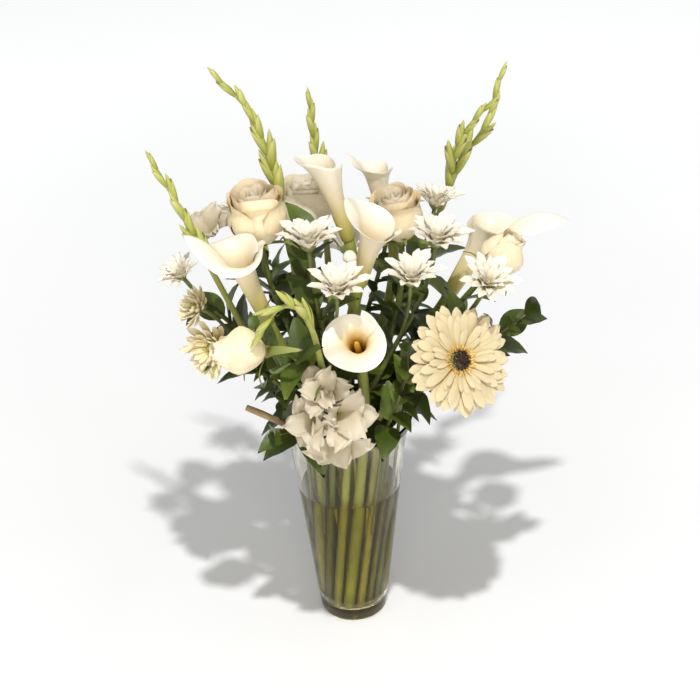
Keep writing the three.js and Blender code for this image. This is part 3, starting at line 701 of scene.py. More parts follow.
# %% [markdown]
# ## Stems
# The stems stand in rings and lean the same way round, as a florist ties a spiral. Below the
# rim each is straight; above it a cubic curve brings it to its flower's neck. These are the
# same rings and points as in the CAD, in metres. Every stem is then a round tube swept along
# its path, with 14 sides, where a CAD stem has five or six.

# %% Paths of the stems
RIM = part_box("vase")[1].z
LIP_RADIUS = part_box("vase")[1].x
BASE_RADIUS = 33 * MM
SHOULDER_RADIUS = 57.5 * MM
LIP_HEIGHT = 15 * MM
HEEL = 6 * MM
GLASS_WALL = 3 * MM
GLASS_FLOOR = 14 * MM
WATER_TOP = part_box("water")[1].z
SHOULDER = RIM - LIP_HEIGHT
STEM_FOOT = GLASS_FLOOR + 2 * MM
SPRIG_FOOT = 112 * MM

STEM_RADIUS = {"calla": 5 * MM, "rose": 3.2 * MM, "gerbera": 3.5 * MM, "spray": 2.6 * MM,
               "spike": 3.8 * MM, "sprig": 1.7 * MM}
OUTER_STEMS = ["spike", "spray", "calla", "rose", "spike", "calla", "gerbera", "spray", "rose",
               "calla", "spike", "calla", "spray", "spike", "spray", "spike", "spray"]
OUTER_RING = {"count": 17, "first": -173, "foot": 5.9 * MM, "rim": 13.5 * MM, "twist": 38}
INNER_RING = {"count": 7, "first": -105, "foot": 17.5 * MM, "rim": 28.5 * MM, "twist": 26}
SPRIG_RING = {"count": 16, "first": -161.75, "foot": 3.4 * MM, "rim": 3.6 * MM, "twist": 12}
INNER_SPRIG_RING = {"count": 1, "first": 170, "foot": 17.4 * MM, "rim": 21 * MM, "twist": 17}


# %% [markdown]
# Points above the rim are given in millimetres from the rim's centre. `stretch` gives the
# straight part of a stem from its foot to the rim, and the rest bends it on to its flower.

# %% Straight parts and curves
STRAIGHT_STEPS = 10
CURVE_STEPS = 18
KNOT_STEPS = 8


def above_rim(numbers):
    x, y, height = numbers
    return Vector((x * MM, y * MM, RIM + height * MM))


def stand(centre, facing, depth=0.0, side=(1, 0, 0)):
    """Neck, axis and matrix of a bloom whose neck is this deep below its centre."""
    axis = Vector(facing).normalized()
    neck = above_rim(centre) - axis * depth
    return neck, axis, frame_matrix(neck, axis, side)


def outer_glass(height):
    slope = (SHOULDER_RADIUS - BASE_RADIUS) / (SHOULDER - HEEL)
    return BASE_RADIUS + slope * (height - HEEL)


def inner_glass(height):
    return outer_glass(height) - GLASS_WALL


def packed_turn(slot):
    """Degrees from slot 0 round the floor, with equal gaps between thick and thin stems."""
    radii = [STEM_RADIUS[stem] for stem in OUTER_STEMS]
    widths = [a + b for a, b in zip(radii, radii[1:] + radii[:1])]
    round_ring = 2 * math.pi * (inner_glass(STEM_FOOT) - OUTER_RING["foot"])
    gap = (round_ring - sum(widths)) / len(widths)
    return 360 * (sum(widths[:slot]) + gap * slot) / round_ring


def stretch(ring, slot, foot_height=STEM_FOOT):
    """Foot and rim point of the straight part of a stem."""
    even_turn = 360 / ring["count"] * slot
    rim_angle = math.radians(ring["first"] + even_turn)
    foot_turn = packed_turn(slot) if ring is OUTER_RING else even_turn
    foot_angle = math.radians(ring["first"] + foot_turn - ring["twist"])
    foot_radius = inner_glass(foot_height) - ring["foot"]
    rim_radius = inner_glass(SHOULDER) - ring["rim"]
    foot = Vector((foot_radius * math.cos(foot_angle), foot_radius * math.sin(foot_angle), foot_height))
    rim = Vector((rim_radius * math.cos(rim_angle), rim_radius * math.sin(rim_angle), RIM))
    return foot, rim


MIDDLE_STRETCH = (Vector((0, 0, STEM_FOOT)), Vector((0, 0, RIM)))


def bezier(a, b, c, d, steps):
    """Points on a cubic curve from a to d that leaves towards b and arrives from c."""
    points = []
    for i in range(steps + 1):
        t = i / steps
        points.append(a * (1 - t) ** 3 + b * 3 * t * (1 - t) ** 2 + c * 3 * t * t * (1 - t) + d * t ** 3)
    return points


def free_curve(straight, end, axis, end_pull=0.4):
    """From the rim to a neck; end_pull says how far below it the stem already follows axis."""
    foot, rim = straight
    span = (end - rim).length
    lead = (rim - foot).normalized()
    return bezier(rim, rim + lead * span * 0.3, end - axis * span * end_pull, end, CURVE_STEPS)


def smooth_path(points):
    """A Catmull-Rom curve through the points."""
    ends = [points[0] * 2 - points[1], *points, points[-1] * 2 - points[-2]]
    path = []
    for a, b, c, d in zip(ends, ends[1:], ends[2:], ends[3:]):
        path += bezier(b, b + (c - a) / 6, c - (d - b) / 6, c, KNOT_STEPS)[:-1]
    return path + [points[-1]]


def straight_part(straight):
    foot, rim = straight
    return [foot.lerp(rim, i / STRAIGHT_STEPS) for i in range(STRAIGHT_STEPS)]


# %% The swept tube
TUBE_SIDES = 14
SWELL_SCALE = 40


def tube_mesh(name, points, radii, material=None, sides=TUBE_SIDES, swell=0.0, seed=0):
    """A closed round tube along the points. radii runs from the first radius to the last."""
    work = bmesh.new()
    layer = work.verts.layers.float_vector.new("sheet")
    last = len(points) - 1
    side = Vector((1, 0, 0))
    rings = []
    for i, point in enumerate(points):
        tangent = (points[min(i + 1, last)] - points[max(i - 1, 0)]).normalized()
        side = (side - tangent * side.dot(tangent)).normalized()
        other = tangent.cross(side)
        share = i / last
        radius = float(np.interp(share, np.linspace(0, 1, len(radii)), radii))
        radius *= 1 + swell * noise(point * SWELL_SCALE + Vector((seed, 0, 0)))
        ring = []
        for k in range(sides):
            angle = 2 * math.pi * k / sides
            out = side * math.cos(angle) + other * math.sin(angle)
            corner = work.verts.new(point + out * radius)
            corner[layer] = (math.cos(angle), share, math.sin(angle))
            ring.append(corner)
        rings.append(ring)
    for low, high in zip(rings, rings[1:]):
        for k in range(sides):
            after = (k + 1) % sides
            work.faces.new((low[k], low[after], high[after], high[k]))
    for ring, point in ((rings[0], points[0]), (rings[-1], points[-1])):
        middle = work.verts.new(point)
        middle[layer] = (0, ring[0][layer][1], 0)
        for k in range(sides):
            work.faces.new((ring[k], ring[(k + 1) % sides], middle))
    return finished_mesh(work, name, material)


# %% [markdown]
# ## Vase
# A pressed glass vase: a thick clear foot, a straight taper and a lip that flares out. A lathe
# profile gives it: outside up, over the round lip, and down the inside to the floor. Its wall
# must be a real wall with two faces, because glass bends light at both of them.

# %% Vase profile
LATHE_SEGMENTS = 96
WALL_STEPS = 26
FLOOR_ROUND = 5 * MM


def arc(centre, radius, start, end, steps):
    return [(centre[0] + radius * math.cos(math.radians(start + (end - start) * i / steps)),
             centre[1] + radius * math.sin(math.radians(start + (end - start) * i / steps)))
            for i in range(steps + 1)]


def flare(height):
    """The outer radius: a straight taper, with a lip that stands out from it near the rim."""
    share = smoothstep(height, SHOULDER - LIP_HEIGHT, RIM)
    return outer_glass(height) + (LIP_RADIUS - outer_glass(RIM)) * share ** 1.5


def vase_profile():
    half = GLASS_WALL / 2
    profile = [(0, 0), *arc((BASE_RADIUS - HEEL, HEEL), HEEL, -90, -4, 8)]
    low, high = HEEL + 2 * MM, RIM - half
    heights = [low + (high - low) * i / WALL_STEPS for i in range(WALL_STEPS + 1)]
    profile += [(flare(h), h) for h in heights]
    profile += arc((LIP_RADIUS - half, RIM - half), half, 20, 160, 6)
    turn = GLASS_FLOOR + FLOOR_ROUND
    profile += [(flare(h) - GLASS_WALL, h) for h in reversed(heights) if h > turn]
    profile += arc((inner_glass(turn) - FLOOR_ROUND, turn), FLOOR_ROUND, 0, -90, 6)
    return [*profile, (0, GLASS_FLOOR)]


# %% [markdown]
# ### Clear glass and water
# Both are Principled shaders with full transmission. Lamps cannot find their way through bent
# glass in a short render, so a Light Path lets most of their light straight through; rays
# from the eye still bend. What the surface mirrors is tinted, as a dim warm room would tint
# it. Both have an olive stain, faint in the glass and stronger in the water from the stems. It
# is absorption, so that it deepens with distance.

# %% Glass and water finishes
LAMP_SHARE = 0.85


def clear_material(name, tint, mirrored, ior, roughness, ripple, ripple_depth, stain, density):
    material, nodes, shader = new_material(name)
    nodes.fill(shader, {
        "Base Color": (*tint, 1),
        "Specular Tint": (*mirrored, 1),
        "Transmission Weight": 1.0,
        "IOR": ior,
        "Roughness": roughness,
        "Normal": nodes.bump(nodes.noise(nodes.place(), ripple, 1.0), FAINT_BUMP, ripple_depth),
    })
    through = nodes.node("ShaderNodeBsdfTransparent", {"Color": (*tint, 1)}).outputs[0]
    lamp_ray = nodes.node("ShaderNodeLightPath").outputs["Is Shadow Ray"]
    share = nodes.node("ShaderNodeMath", {0: lamp_ray, 1: LAMP_SHARE}, operation="MULTIPLY")
    mix = nodes.node("ShaderNodeMixShader", {0: share.outputs[0], 1: shader.outputs[0], 2: through})
    inside = nodes.node("ShaderNodeVolumeAbsorption", {"Color": (*stain, 1), "Density": density})
    nodes.fill(material.node_tree.nodes["Material Output"], {
        "Surface": mix.outputs[0], "Volume": inside.outputs[0]})
    return material


VASE_GLASS = clear_material(
    "vase_glass", tint=(0.97, 0.96, 0.93), mirrored=(0.40, 0.34, 0.25), ior=1.5, roughness=0.02,
    ripple=30.0, ripple_depth=0.0006, stain=(0.80, 0.72, 0.30), density=30.0)
OLIVE_WATER = clear_material(
    "olive_water", tint=(0.97, 0.95, 0.80), mirrored=(0.20, 0.17, 0.06), ior=1.33, roughness=0.0,
    ripple=60.0, ripple_depth=0.0004, stain=(0.86, 0.79, 0.05), density=55.0)


# %% [markdown]
# The water wets the glass: it reaches just into the wall, so that no film of air shows, and it
# climbs the wall a little.

# %% Water profile, vase and water
WETTED = 0.15 * MM
CLIMB = 1.5 * MM
WATER_STEPS = 12


def water_profile():
    bottom, top = GLASS_FLOOR - WETTED, inner_glass(WATER_TOP)
    side = [bottom + (WATER_TOP - bottom) * i / WATER_STEPS for i in range(WATER_STEPS + 1)]
    return [(0, bottom), (inner_glass(bottom) - FLOOR_ROUND, bottom),
            *[(inner_glass(h) + WETTED, h) for h in side if h > bottom + FLOOR_ROUND],
            (top + WETTED, WATER_TOP + CLIMB), (top - WETTED, WATER_TOP + CLIMB),
            (top - CLIMB, WATER_TOP + CLIMB * 0.3), (top - 3 * CLIMB, WATER_TOP), (0, WATER_TOP)]


for name, profile, finish, slot, node in (
        ("clear_vase", vase_profile(), VASE_GLASS, "vase_glass", "vase"),
        ("vase_water", water_profile(), OLIVE_WATER, "water", "water")):
    place_piece(name, lathe_mesh(name, profile, LATHE_SEGMENTS, finish), slot, node)
print("vase", round(LIP_RADIUS * 2, 4), "m across, water", round(WATER_TOP, 3), "m high")

# %% [markdown]
# ## Calla lilies
# A calla's bloom is one rolled leaf, the spathe: a sleeve whose edges overlap at the front
# and whose lip rolls outward and runs out into a point behind. It is built like that: for
# every direction round the axis a line climbs from the neck, and its slope opens from almost
# upright to more than level at the lip. The line is longest at the tip and shortest at the
# overlap, and the two edges lie a little apart so that one wraps over the other. A free tip
# runs out as a tongue that the width of the mouth does not squeeze.

# %% Spathe
SPATHE_WALL = 0.9 * MM
SPATHE_NECK = 5.6 * MM
SPATHE_STEPS = 60
SPATHE_OVERLAP = 0.45
OVERLAP_DIP = 0.2
LIP_WAVE = 0.02
LIP_KICK = math.radians(28)
FOOT_SLOPE = math.radians(5)


def spathe_mesh(name, length, mouth, reach, roll, opening, material=None, tip_slope=70.0,
                sharp=7.0, free_tip=0.0):
    """roll and tip_slope are the slopes of the lip and of the tip; sharp narrows the tip."""
    length, mouth, reach = length * MM, mouth * MM, reach * MM

    def meridian(theta, turn):
        toward = (1 + math.cos(theta)) / 2
        point = toward ** sharp
        total = length * (1 - OVERLAP_DIP * (1 - toward) ** 1.5 + LIP_WAVE * math.sin(2 * theta + 0.7))
        total += reach * 1.15 * toward ** (sharp * 2.5)
        end = math.radians(roll + (tip_slope - roll) * point)
        end *= 1 - 0.35 * (1 - toward) ** 3
        end += LIP_KICK * smoothstep(turn, 0.75, 1.0)
        r, z = [0.0], [0.0]
        for i in range(SPATHE_STEPS):
            share = (i + 0.5) / SPATHE_STEPS
            slope = FOOT_SLOPE + end * smoothstep(share, opening, 1.08) ** 1.4
            r.append(r[-1] + math.sin(slope) * total / SPATHE_STEPS)
            z.append(z[-1] + math.cos(slope) * total / SPATHE_STEPS)
        return r, z

    side_r, _ = meridian(math.pi / 2, 0.0)
    widen = (mouth - SPATHE_NECK) / side_r[-1]
    lines = {}

    def shape(across, along):
        turn = math.copysign(abs(across) ** 1.15, across)
        theta = turn * (math.pi + SPATHE_OVERLAP)
        if turn not in lines:
            lines[turn] = meridian(theta, turn)
        r, z = lines[turn]
        spots = np.linspace(0, 1, SPATHE_STEPS + 1)
        tongue = free_tip * ((1 + math.cos(theta)) / 2) ** sharp
        radius = SPATHE_NECK + (widen + (1 - widen) * tongue) * float(np.interp(along, spots, r))
        radius *= 1 + 0.085 * turn * (0.4 + 0.6 * along)
        height = float(np.interp(along, spots, z))
        return (radius * math.cos(theta), radius * math.sin(theta), height)

    return sheet_mesh(name, shape, 40, 72, SPATHE_WALL, material)


# %% [markdown]
# In the throat stands the spadix, a fleshy spike. Two spirals of cosines that cross give its
# surface the rows of tiny flowers.

# %% Spadix
SPADIX_LENGTH = 46 * MM
SPADIX_RADIUS = 3.2 * MM
SPADIX_ROWS = 56
SPADIX_BUMP = 0.07


def spadix_mesh():
    """The fleshy spike in the throat, studded with tiny flowers."""
    profile = []
    for i in range(SPADIX_ROWS + 1):
        share = i / SPADIX_ROWS
        end = math.sqrt(max(1 - max((share - 0.82) / 0.18, 0) ** 2, 0))
        radius = SPADIX_RADIUS * (1 - 0.25 * share) * end * min(share * 12, 1)
        profile.append((radius, share * SPADIX_LENGTH))
    mesh = lathe_mesh("spadix", profile, 24, SPADIX_YELLOW)
    for corner in mesh.vertices:
        around, up = 8 * math.atan2(corner.co.y, corner.co.x), corner.co.z / MM
        bump = 1 + SPADIX_BUMP * math.cos(around + up * 1.1) * math.cos(around - up * 2.4)
        corner.co.x *= bump
        corner.co.y *= bump
    return mesh


# %% [markdown]
# Each calla has a neck in millimetres above the rim, the direction it faces and the direction
# of its tip. The front one is gold in its throat. The stem and the spadix make one piece.

# %% Six callas
CALLAS = [
    {"name": "calla_left", "path": (OUTER_RING, 2), "neck": (-68, -34, 125),
     "axis": (-0.3, -0.18, 0.94), "tip": (-1, -0.25, -0.1),
     "shape": {"length": 128, "mouth": 31, "reach": 18, "roll": 112, "opening": 0.3}},
    {"name": "calla_tall", "path": (INNER_RING, 4), "neck": (8, 26, 174),
     "axis": (-0.26, 0.04, 0.96), "tip": (-1, 0, 0),
     "shape": {"length": 98, "mouth": 14, "reach": 16, "roll": 34, "opening": 0.1}},
    {"name": "calla_back", "path": (OUTER_RING, 11), "neck": (48, 62, 160),
     "axis": (-0.22, 0.16, 0.96), "tip": (-1, 0, 0),
     "shape": {"length": 84, "mouth": 18, "reach": 12, "roll": 75, "opening": 0.4}},
    {"name": "calla_centre", "path": None, "neck": (16, -30, 158),
     "axis": (0.22, -0.16, 0.96), "tip": (-1, 0.2, 0),
     "shape": {"length": 92, "mouth": 25, "reach": 10, "roll": 66, "opening": 0.3}},
    {"name": "calla_right", "path": (OUTER_RING, 9), "neck": (98, 22, 110),
     "axis": (0.5, 0.06, 0.86), "tip": (1, 0, -0.2),
     "shape": {"length": 108, "mouth": 23, "reach": 40, "roll": 70, "opening": 0.35,
               "tip_slope": 94, "sharp": 38.0, "free_tip": 0.85}},
    {"name": "calla_front", "path": (OUTER_RING, 5), "neck": (14, -56, 100),
     "axis": (-0.06, -0.7, 0.71), "tip": (-0.5, 0, -1), "finish": CALLA_GOLD,
     "shape": {"length": 78, "mouth": 29, "reach": 15, "roll": 98, "opening": 0.3}},
]


def stem_points(straight, end, axis):
    return straight_part(straight) + free_curve(straight, end, axis)


for number, calla in enumerate(CALLAS):
    name = calla["name"]
    neck, axis, place = stand(calla["neck"], calla["axis"], side=calla["tip"])
    spathe = spathe_mesh(name + "_bloom", material=calla.get("finish", CALLA_IVORY), **calla["shape"])
    spathe.transform(place)
    place_piece(name + "_bloom", spathe, "calla_spathe", name + "_spathe")
    straight = stretch(*calla["path"]) if calla["path"] else MIDDLE_STRETCH
    radius = STEM_RADIUS["calla"]
    stalk_tube = tube_mesh("stalk", stem_points(straight, neck + axis * 3 * MM, axis),
                           [radius, radius, 5.2 * MM], STEM_CALLA, swell=0.06, seed=number)
    spadix = spadix_mesh()
    spadix.transform(place)
    place_piece(name + "_stalk", joined_mesh("stalk", [stalk_tube, spadix]), "calla_stem",
                name + "_stem")
print(len(CALLAS), "calla lilies")

# %% [markdown]
# ## Leaves
# The bunch is filled with glossy, dark, pointed leaves. A leaf is one sheet: widest below the
# middle, folded slightly along its midrib, and bent down at the tip. Roses and daisies carry
# them on the upper part of their stems, in a spiral.

# %% A leaf and a leafy stem
LEAF_WIDTH = 0.27
LEAF_FOLD = 0.25
LEAF_DROOP = 0.18


def leaf_shape(across, along):
    half = LEAF_WIDTH * math.sin(math.pi * along ** 0.8) ** 0.85 * (1.12 - 0.3 * along)
    y = (half + 0.012 * (1 - along)) * across
    z = LEAF_FOLD * abs(y) - LEAF_DROOP * along ** 2 + 0.012 * math.sin(along * 17) * across * across
    return (along * (1 - 0.1 * LEAF_DROOP), y, z + 0.06 * math.sin(math.pi * along))


BROAD_LEAF = template(sheet_mesh("broad_leaf", leaf_shape, 10, 6, 0.012))


def leafy_stem(points, radii, material, leaves, reach, size, seed):
    """A stem's tube with leaves on its upper part."""
    tube = tube_mesh("stem", points, radii, material, swell=0.08, seed=seed)
    free = [p for p in points if p.z > RIM - MM]
    foliage = stalk(free, BROAD_LEAF, LEAF_GLOSS, leaves, reach=reach, lean=(98, 46),
                    size=(size * MM, size * 0.8 * MM), turn=GOLDEN_ANGLE, fan=(0, -1, 0.2),
                    wobble=0.3, seed=seed)
    return [tube, foliage]


print("leaf with", len(BROAD_LEAF.data.polygons), "faces")

# %% [markdown]
# ## Roses
# A rose is petals wrapped round a tight core: the outer ones are wide with lips that curl
# back, the inner ones stand closer and closer. One petal shape does for all of them: the
# whorl shrinks it across while the rise keeps it tall. Five narrow sepals and a green
# hip finish the neck.

# %% Petals of a rose


def rose_petal(name, curl, closing):
    """A petal of a barrel one unit round and one unit tall; closing draws its top inwards."""
    def shape(across, along):
        share = along * (1 - 0.24 * across ** 4)
        belly = math.sin(math.pi * min(share, 0.62) / 1.24) ** 0.7
        lip = smoothstep(share, 0.72, 1.0)
        radius = 0.1 + 0.9 * belly - closing * smoothstep(share, 0.55, 1.0) + curl * lip ** 2
        radius *= 1 + 0.08 * across
        angle = math.radians(74) * across * (0.35 + 0.65 * belly)
        height = share - 0.10 * curl * lip ** 3 + 0.03 * lip * math.cos(3 * across)
        return (radius * math.cos(angle), radius * math.sin(angle), height)

    return template(sheet_mesh(name, shape, 9, 8, 0.02))


def sepal_shape(across, along):
    """A narrow green leaf that hangs from the neck of a rose."""
    half = 0.11 * (1 - along) ** 0.6 * (0.8 + 1.2 * along * (1 - along))
    return (along, half * across, 0.25 * math.sin(along * math.pi * 0.8) + 0.02 * across ** 2)


OUTER_PETAL = rose_petal("outer_petal", curl=0.24, closing=0.26)
INNER_PETAL = rose_petal("inner_petal", curl=0.05, closing=0.10)
BUD_PETAL = rose_petal("bud_petal", curl=0.06, closing=0.52)
SEPAL = template(sheet_mesh("sepal", sepal_shape, 6, 2, 0.012))
print("three rose petals and a sepal")

# %% [markdown]
# A bloom is three whorls inside each other. A row gives a whorl's petal, count, pitch as a
# share of how far the rose is open, size and rise as shares of the bloom, wobble, and the part
# of the colour that it takes.

# %% Bloom and hip


def rose_mesh(name, length, radius, material, open_by, seed, petal):
    """Outer whorl, middle whorl and core, standing on the neck."""
    inside = INNER_PETAL if petal is OUTER_PETAL else petal
    whorls = [
        (petal, 6, (-1, -0.4), (1, 0.86), (0.86, 0.94), 0.05, (0.0, 0.35)),
        (inside, 8, (-0.3, 0), (0.84, 0.56), (0.95, 0.98), 0.04, (0.35, 0.65)),
        (INNER_PETAL, 9, (0, 0), (0.50, 0.10), (0.96, 0.97), 0.03, (0.65, 1.0)),
    ]
    parts = []
    for number, (form, count, pitch, size, rise, wobble, (start, end)) in enumerate(whorls):
        part = whorl(form, material, count, ring=(0, 0), pitch=[p * open_by for p in pitch],
                     size=[s * radius * MM for s in size], rise=[r * length * MM for r in rise],
                     wobble=wobble, seed=seed + number)
        for entry in part.attributes["layer"].data:
            entry.value = start + (end - start) * entry.value
        parts.append(part)
    return joined_mesh(name, parts)


HIP_PROFILE = [(0, -9), (3.4, -8), (5.6, -3), (6.2, 1), (4, 4), (0, 5)]


def hip_mesh(radius, sepals):
    """The green swelling under the bloom with its five sepals."""
    hip = lathe_mesh("hip", [(r * MM, z * MM) for r, z in HIP_PROFILE], 16, SEPAL_GREEN)
    size = radius * sepals * MM
    leaves = whorl(SEPAL, SEPAL_GREEN, 5, ring=(5 * MM, 5 * MM), pitch=(-35, 20),
                   size=(size, size * 0.88), turn=math.radians(72), wobble=0.2, seed=radius)
    return [hip, leaves]


# %% [markdown]
# Two of the five roses are still buds, and one of those nods forward over the rim with its
# sepals folded back.

# %% Five roses
ROSES = [
    {"name": "rose_left", "path": (INNER_RING, 6), "neck": (-72, 6, 184),
     "axis": (-0.08, -0.08, 1), "length": 60, "radius": 27},
    {"name": "rose_centre", "path": (INNER_RING, 2), "neck": (56, 23, 174),
     "axis": (-0.12, -0.1, 1), "length": 54, "radius": 22, "open_by": 3},
    {"name": "rose_right", "path": (OUTER_RING, 8), "neck": (134, -14, 158),
     "axis": (0.55, -0.1, 0.83), "length": 46, "radius": 21, "petal": BUD_PETAL},
    {"name": "rose_front", "path": (OUTER_RING, 3), "neck": (-70, -90, 128),
     "axis": (-0.92, -0.3, 0.2), "length": 50, "radius": 21, "petal": BUD_PETAL, "sepals": 1.9},
    {"name": "rose_back", "path": (INNER_RING, 5), "neck": (-32, 66, 162),
     "axis": (0, 0.1, 1), "length": 54, "radius": 25, "open_by": 2, "finish": ROSE_WHITE},
]

for number, rose in enumerate(ROSES):
    name = rose["name"]
    neck, axis, place = stand(rose["neck"], rose["axis"])
    bloom = rose_mesh(name + "_petals", rose["length"], rose["radius"], rose.get("finish", ROSE_CREAM),
                      rose.get("open_by", 0), 10 * number + 3, rose.get("petal", OUTER_PETAL))
    bloom.transform(place)
    place_piece(name + "_petals", bloom, "rose_petals", name + "_bloom")
    hips = hip_mesh(rose["radius"], rose.get("sepals", 1.25))
    for part in hips:
        part.transform(place)
    stem = leafy_stem(stem_points(stretch(*rose["path"]), neck, axis),
                      [STEM_RADIUS["rose"], 3.0 * MM, 2.8 * MM], STEM_ROSE, 12, (0.03, 0.78), 52,
                      seed=number + 20)
    place_piece(name + "_stalk", joined_mesh("stalk", [*stem, *hips]), "rose_stem", name + "_stem")
print(len(ROSES), "roses")

# %% [markdown]
# ## Daisy chrysanthemums
# A double daisy: some forty straps in rising rows round a small green eye. The outer straps
# spread and the inner ones stand up and shorten, so a head is a bowl. The cream heads droop
# further and have thinner straps.

# %% Straps, eye and cup


def strap_shape(width, cup, curl):
    """cup folds the strap along its middle and curl bends it up."""
    def shape(across, along):
        tip = math.sqrt(max(1 - (max(along - 0.72, 0) / 0.285) ** 2, 0))
        y = width * (0.38 + 0.62 * smoothstep(along, 0.0, 0.55)) * tip * across
        bend = curl * (math.sin(math.pi * along * 0.85) - 0.9 * along ** 4)
        return (along, y, cup * y * y / width + bend)

    return shape


STRAP = template(sheet_mesh("strap", strap_shape(0.155, 0.45, 0.08), 6, 4, 0.02))
THIN_STRAP = template(sheet_mesh("thin_strap", strap_shape(0.14, 0.5, -0.12), 6, 4, 0.02))
EYE_PROFILE = [(0, 0), (0.5, 0.1), (0.62, 0.8), (0.3, 1.25), (0, 1.1)]
EYE_FLORET = template(lathe_mesh("eye_floret", EYE_PROFILE, 6))
MUM_DEPTH = 9 * MM
# The strap, its finish, how many, and by how many degrees they droop.
WHITE_HEAD = (STRAP, MUM_WHITE, 34, 0)
CREAM_HEAD = (THIN_STRAP, MUM_CREAM, 46, 14)


def daisy_cup(radius, depth):
    return lathe_mesh("cup", [(0, -1 * MM), (radius * 0.35, -0.5 * MM), (radius * 0.9, depth * 0.45),
                              (radius, depth * 0.8), (0, depth * 0.9)], 20, SEPAL_GREEN)


def mum_mesh(name, radius, cream, seed):
    """A head that stands on its neck and faces along +Z."""
    radius *= MM
    base = MUM_DEPTH * 0.62
    strap, material, count, droop = CREAM_HEAD if cream else WHITE_HEAD
    straps = whorl(strap, material, count, ring=(4.5 * MM, 2.5 * MM), pitch=(29 - droop, 72 - droop),
                   size=(radius * 0.9, radius * 0.46), height=(base - 2 * MM, base + 1.5 * MM),
                   wobble=0.1, seed=seed)
    eye = whorl(EYE_FLORET, MUM_EYE, 34, ring=(radius * 0.14, 0.3 * MM), pitch=(-8, 0),
                size=(1.5 * MM, 1.1 * MM), height=(base + 1 * MM, base + 3 * MM),
                rise=(2.6 * MM, 2.0 * MM), wobble=0.2, seed=seed + 1)
    return joined_mesh(name, [straps, eye, daisy_cup(radius * 0.22, MUM_DEPTH)])


print("two straps and an eye floret")

# %% [markdown]
# ### Sprays
# A spray's stem ends in its first head. A second head or a bud stands on a branch that leaves
# the stem at the share given last in its row.

# %% Sprays
SPRAYS = [
    {"name": "mum_spray_middle", "path": (INNER_RING, 0),
     "heads": [("middle_upper", (-28, -40, 210), (-0.05, 0.03, 1), 35, 0),
               ("middle_lower", (-4, -84, 186), (0, -0.15, 1), 35, 0.35)],
     "buds": [((8, -46, 192), (0.1, -0.2, 1), 13, 6.5)]},
    {"name": "mum_spray_centre_right", "path": (INNER_RING, 1),
     "heads": [("right_upper", (87, -25, 200), (0.1, -0.12, 1), 35, 0),
               ("right_middle", (62, -68, 186), (0.05, -0.12, 1), 34, 0.35)]},
    {"name": "mum_spray_right", "path": (OUTER_RING, 7),
     "heads": [("far_right", (130, -68, 178), (0.2, -0.45, 0.87), 33, 0)]},
    {"name": "mum_spray_low_left", "path": (OUTER_RING, 1), "end_pull": 0.1, "cream": True,
     "heads": [("low_left", (-122, -40, 102), (-0.45, -0.8, 0.2), 31, 0),
               ("low_left_upper", (-136, -30, 142), (-0.75, -0.3, 0.55), 22, 0.5)]},
    {"name": "mum_spray_far_left", "path": (OUTER_RING, 16),
     "heads": [("far_left", (-148, -6, 164), (-0.45, -0.2, 0.85), 24, 0)]},
    {"name": "mum_spray_back_right", "path": (INNER_RING, 3),
     "heads": [("back_right", (90, 48, 200), (0.15, 0.1, 1), 28, 0)]},
    {"name": "mum_spray_back", "path": (OUTER_RING, 12),
     "heads": [("back_upper", (50, 108, 160), (0.15, 0.55, 0.8), 33, 0),
               ("back_lower", (6, 124, 112), (-0.1, 0.8, 0.55), 33, 0.25)]},
    {"name": "mum_spray_back_left", "path": (OUTER_RING, 14),
     "heads": [("back_left", (-92, 84, 176), (-0.25, 0.3, 0.9), 33, 0)]},
]
BRANCH_RADIUS = 1.6 * MM
BUD_FORK = 0.5
BUD_PROFILE = [(0, 0), (0.5, 0.06), (0.95, 0.3), (1, 0.5), (0.75, 0.78), (0.35, 0.95), (0, 1)]


def point_on(path, share):
    spot = share * (len(path) - 1)
    low = min(int(spot), len(path) - 2)
    lead = (path[low + 1] - path[low]).normalized()
    return path[low].lerp(path[low + 1], spot - low), lead


def branch(free, share, end, axis, last_radius=BRANCH_RADIUS):
    fork, lead = point_on(free, share)
    span = (end - fork).length
    points = bezier(fork, fork + lead * span * 0.3, end - axis * span * 0.35, end, 12)
    return tube_mesh("branch", points, [BRANCH_RADIUS, last_radius], STEM_SPRAY)


for number, spray in enumerate(SPRAYS):
    straight = stretch(*spray["path"])
    parts = []
    for order, (tag, centre, facing, radius, fork) in enumerate(spray["heads"]):
        neck, axis, place = stand(centre, facing, MUM_DEPTH)
        name = "mum_" + tag
        head = mum_mesh(name + "_head", radius, spray.get("cream", False), 7 * number + order + 1)
        head.transform(place)
        place_piece(name + "_head", head, "mum_petals", name)
        if order == 0:
            free = free_curve(straight, neck, axis, spray.get("end_pull", 0.4))
            radius = STEM_RADIUS["spray"]
            parts += leafy_stem(straight_part(straight) + free, [radius, radius, 2.0 * MM],
                                STEM_SPRAY, 14, (0.03, 0.74), 46, seed=number + 40)
        else:
            parts.append(branch(free, fork, neck, axis))
    for centre, facing, length, radius in spray.get("buds", []):
        axis = Vector(facing).normalized()
        end = above_rim(centre)
        parts.append(branch(free, BUD_FORK, end, axis, 1.4 * MM))
        profile = [(radius * r * MM, length * z * MM) for r, z in BUD_PROFILE]
        bud = lathe_mesh("bud", profile, 16, MUM_WHITE)
        bud.transform(frame_matrix(end - axis * MM, axis))
        parts.append(bud)
    place_piece(spray["name"] + "_stalk", joined_mesh("stalk", parts), "mum_stem", spray["name"])
print(len(SPRAYS), "chrysanthemum sprays")

# %% [markdown]
# ## Gerbera
# The one big daisy: two full rows of long blunt petals with a shorter row inside them, a fine
# yellow ring and an almost black disc. Each of these is one whorl.

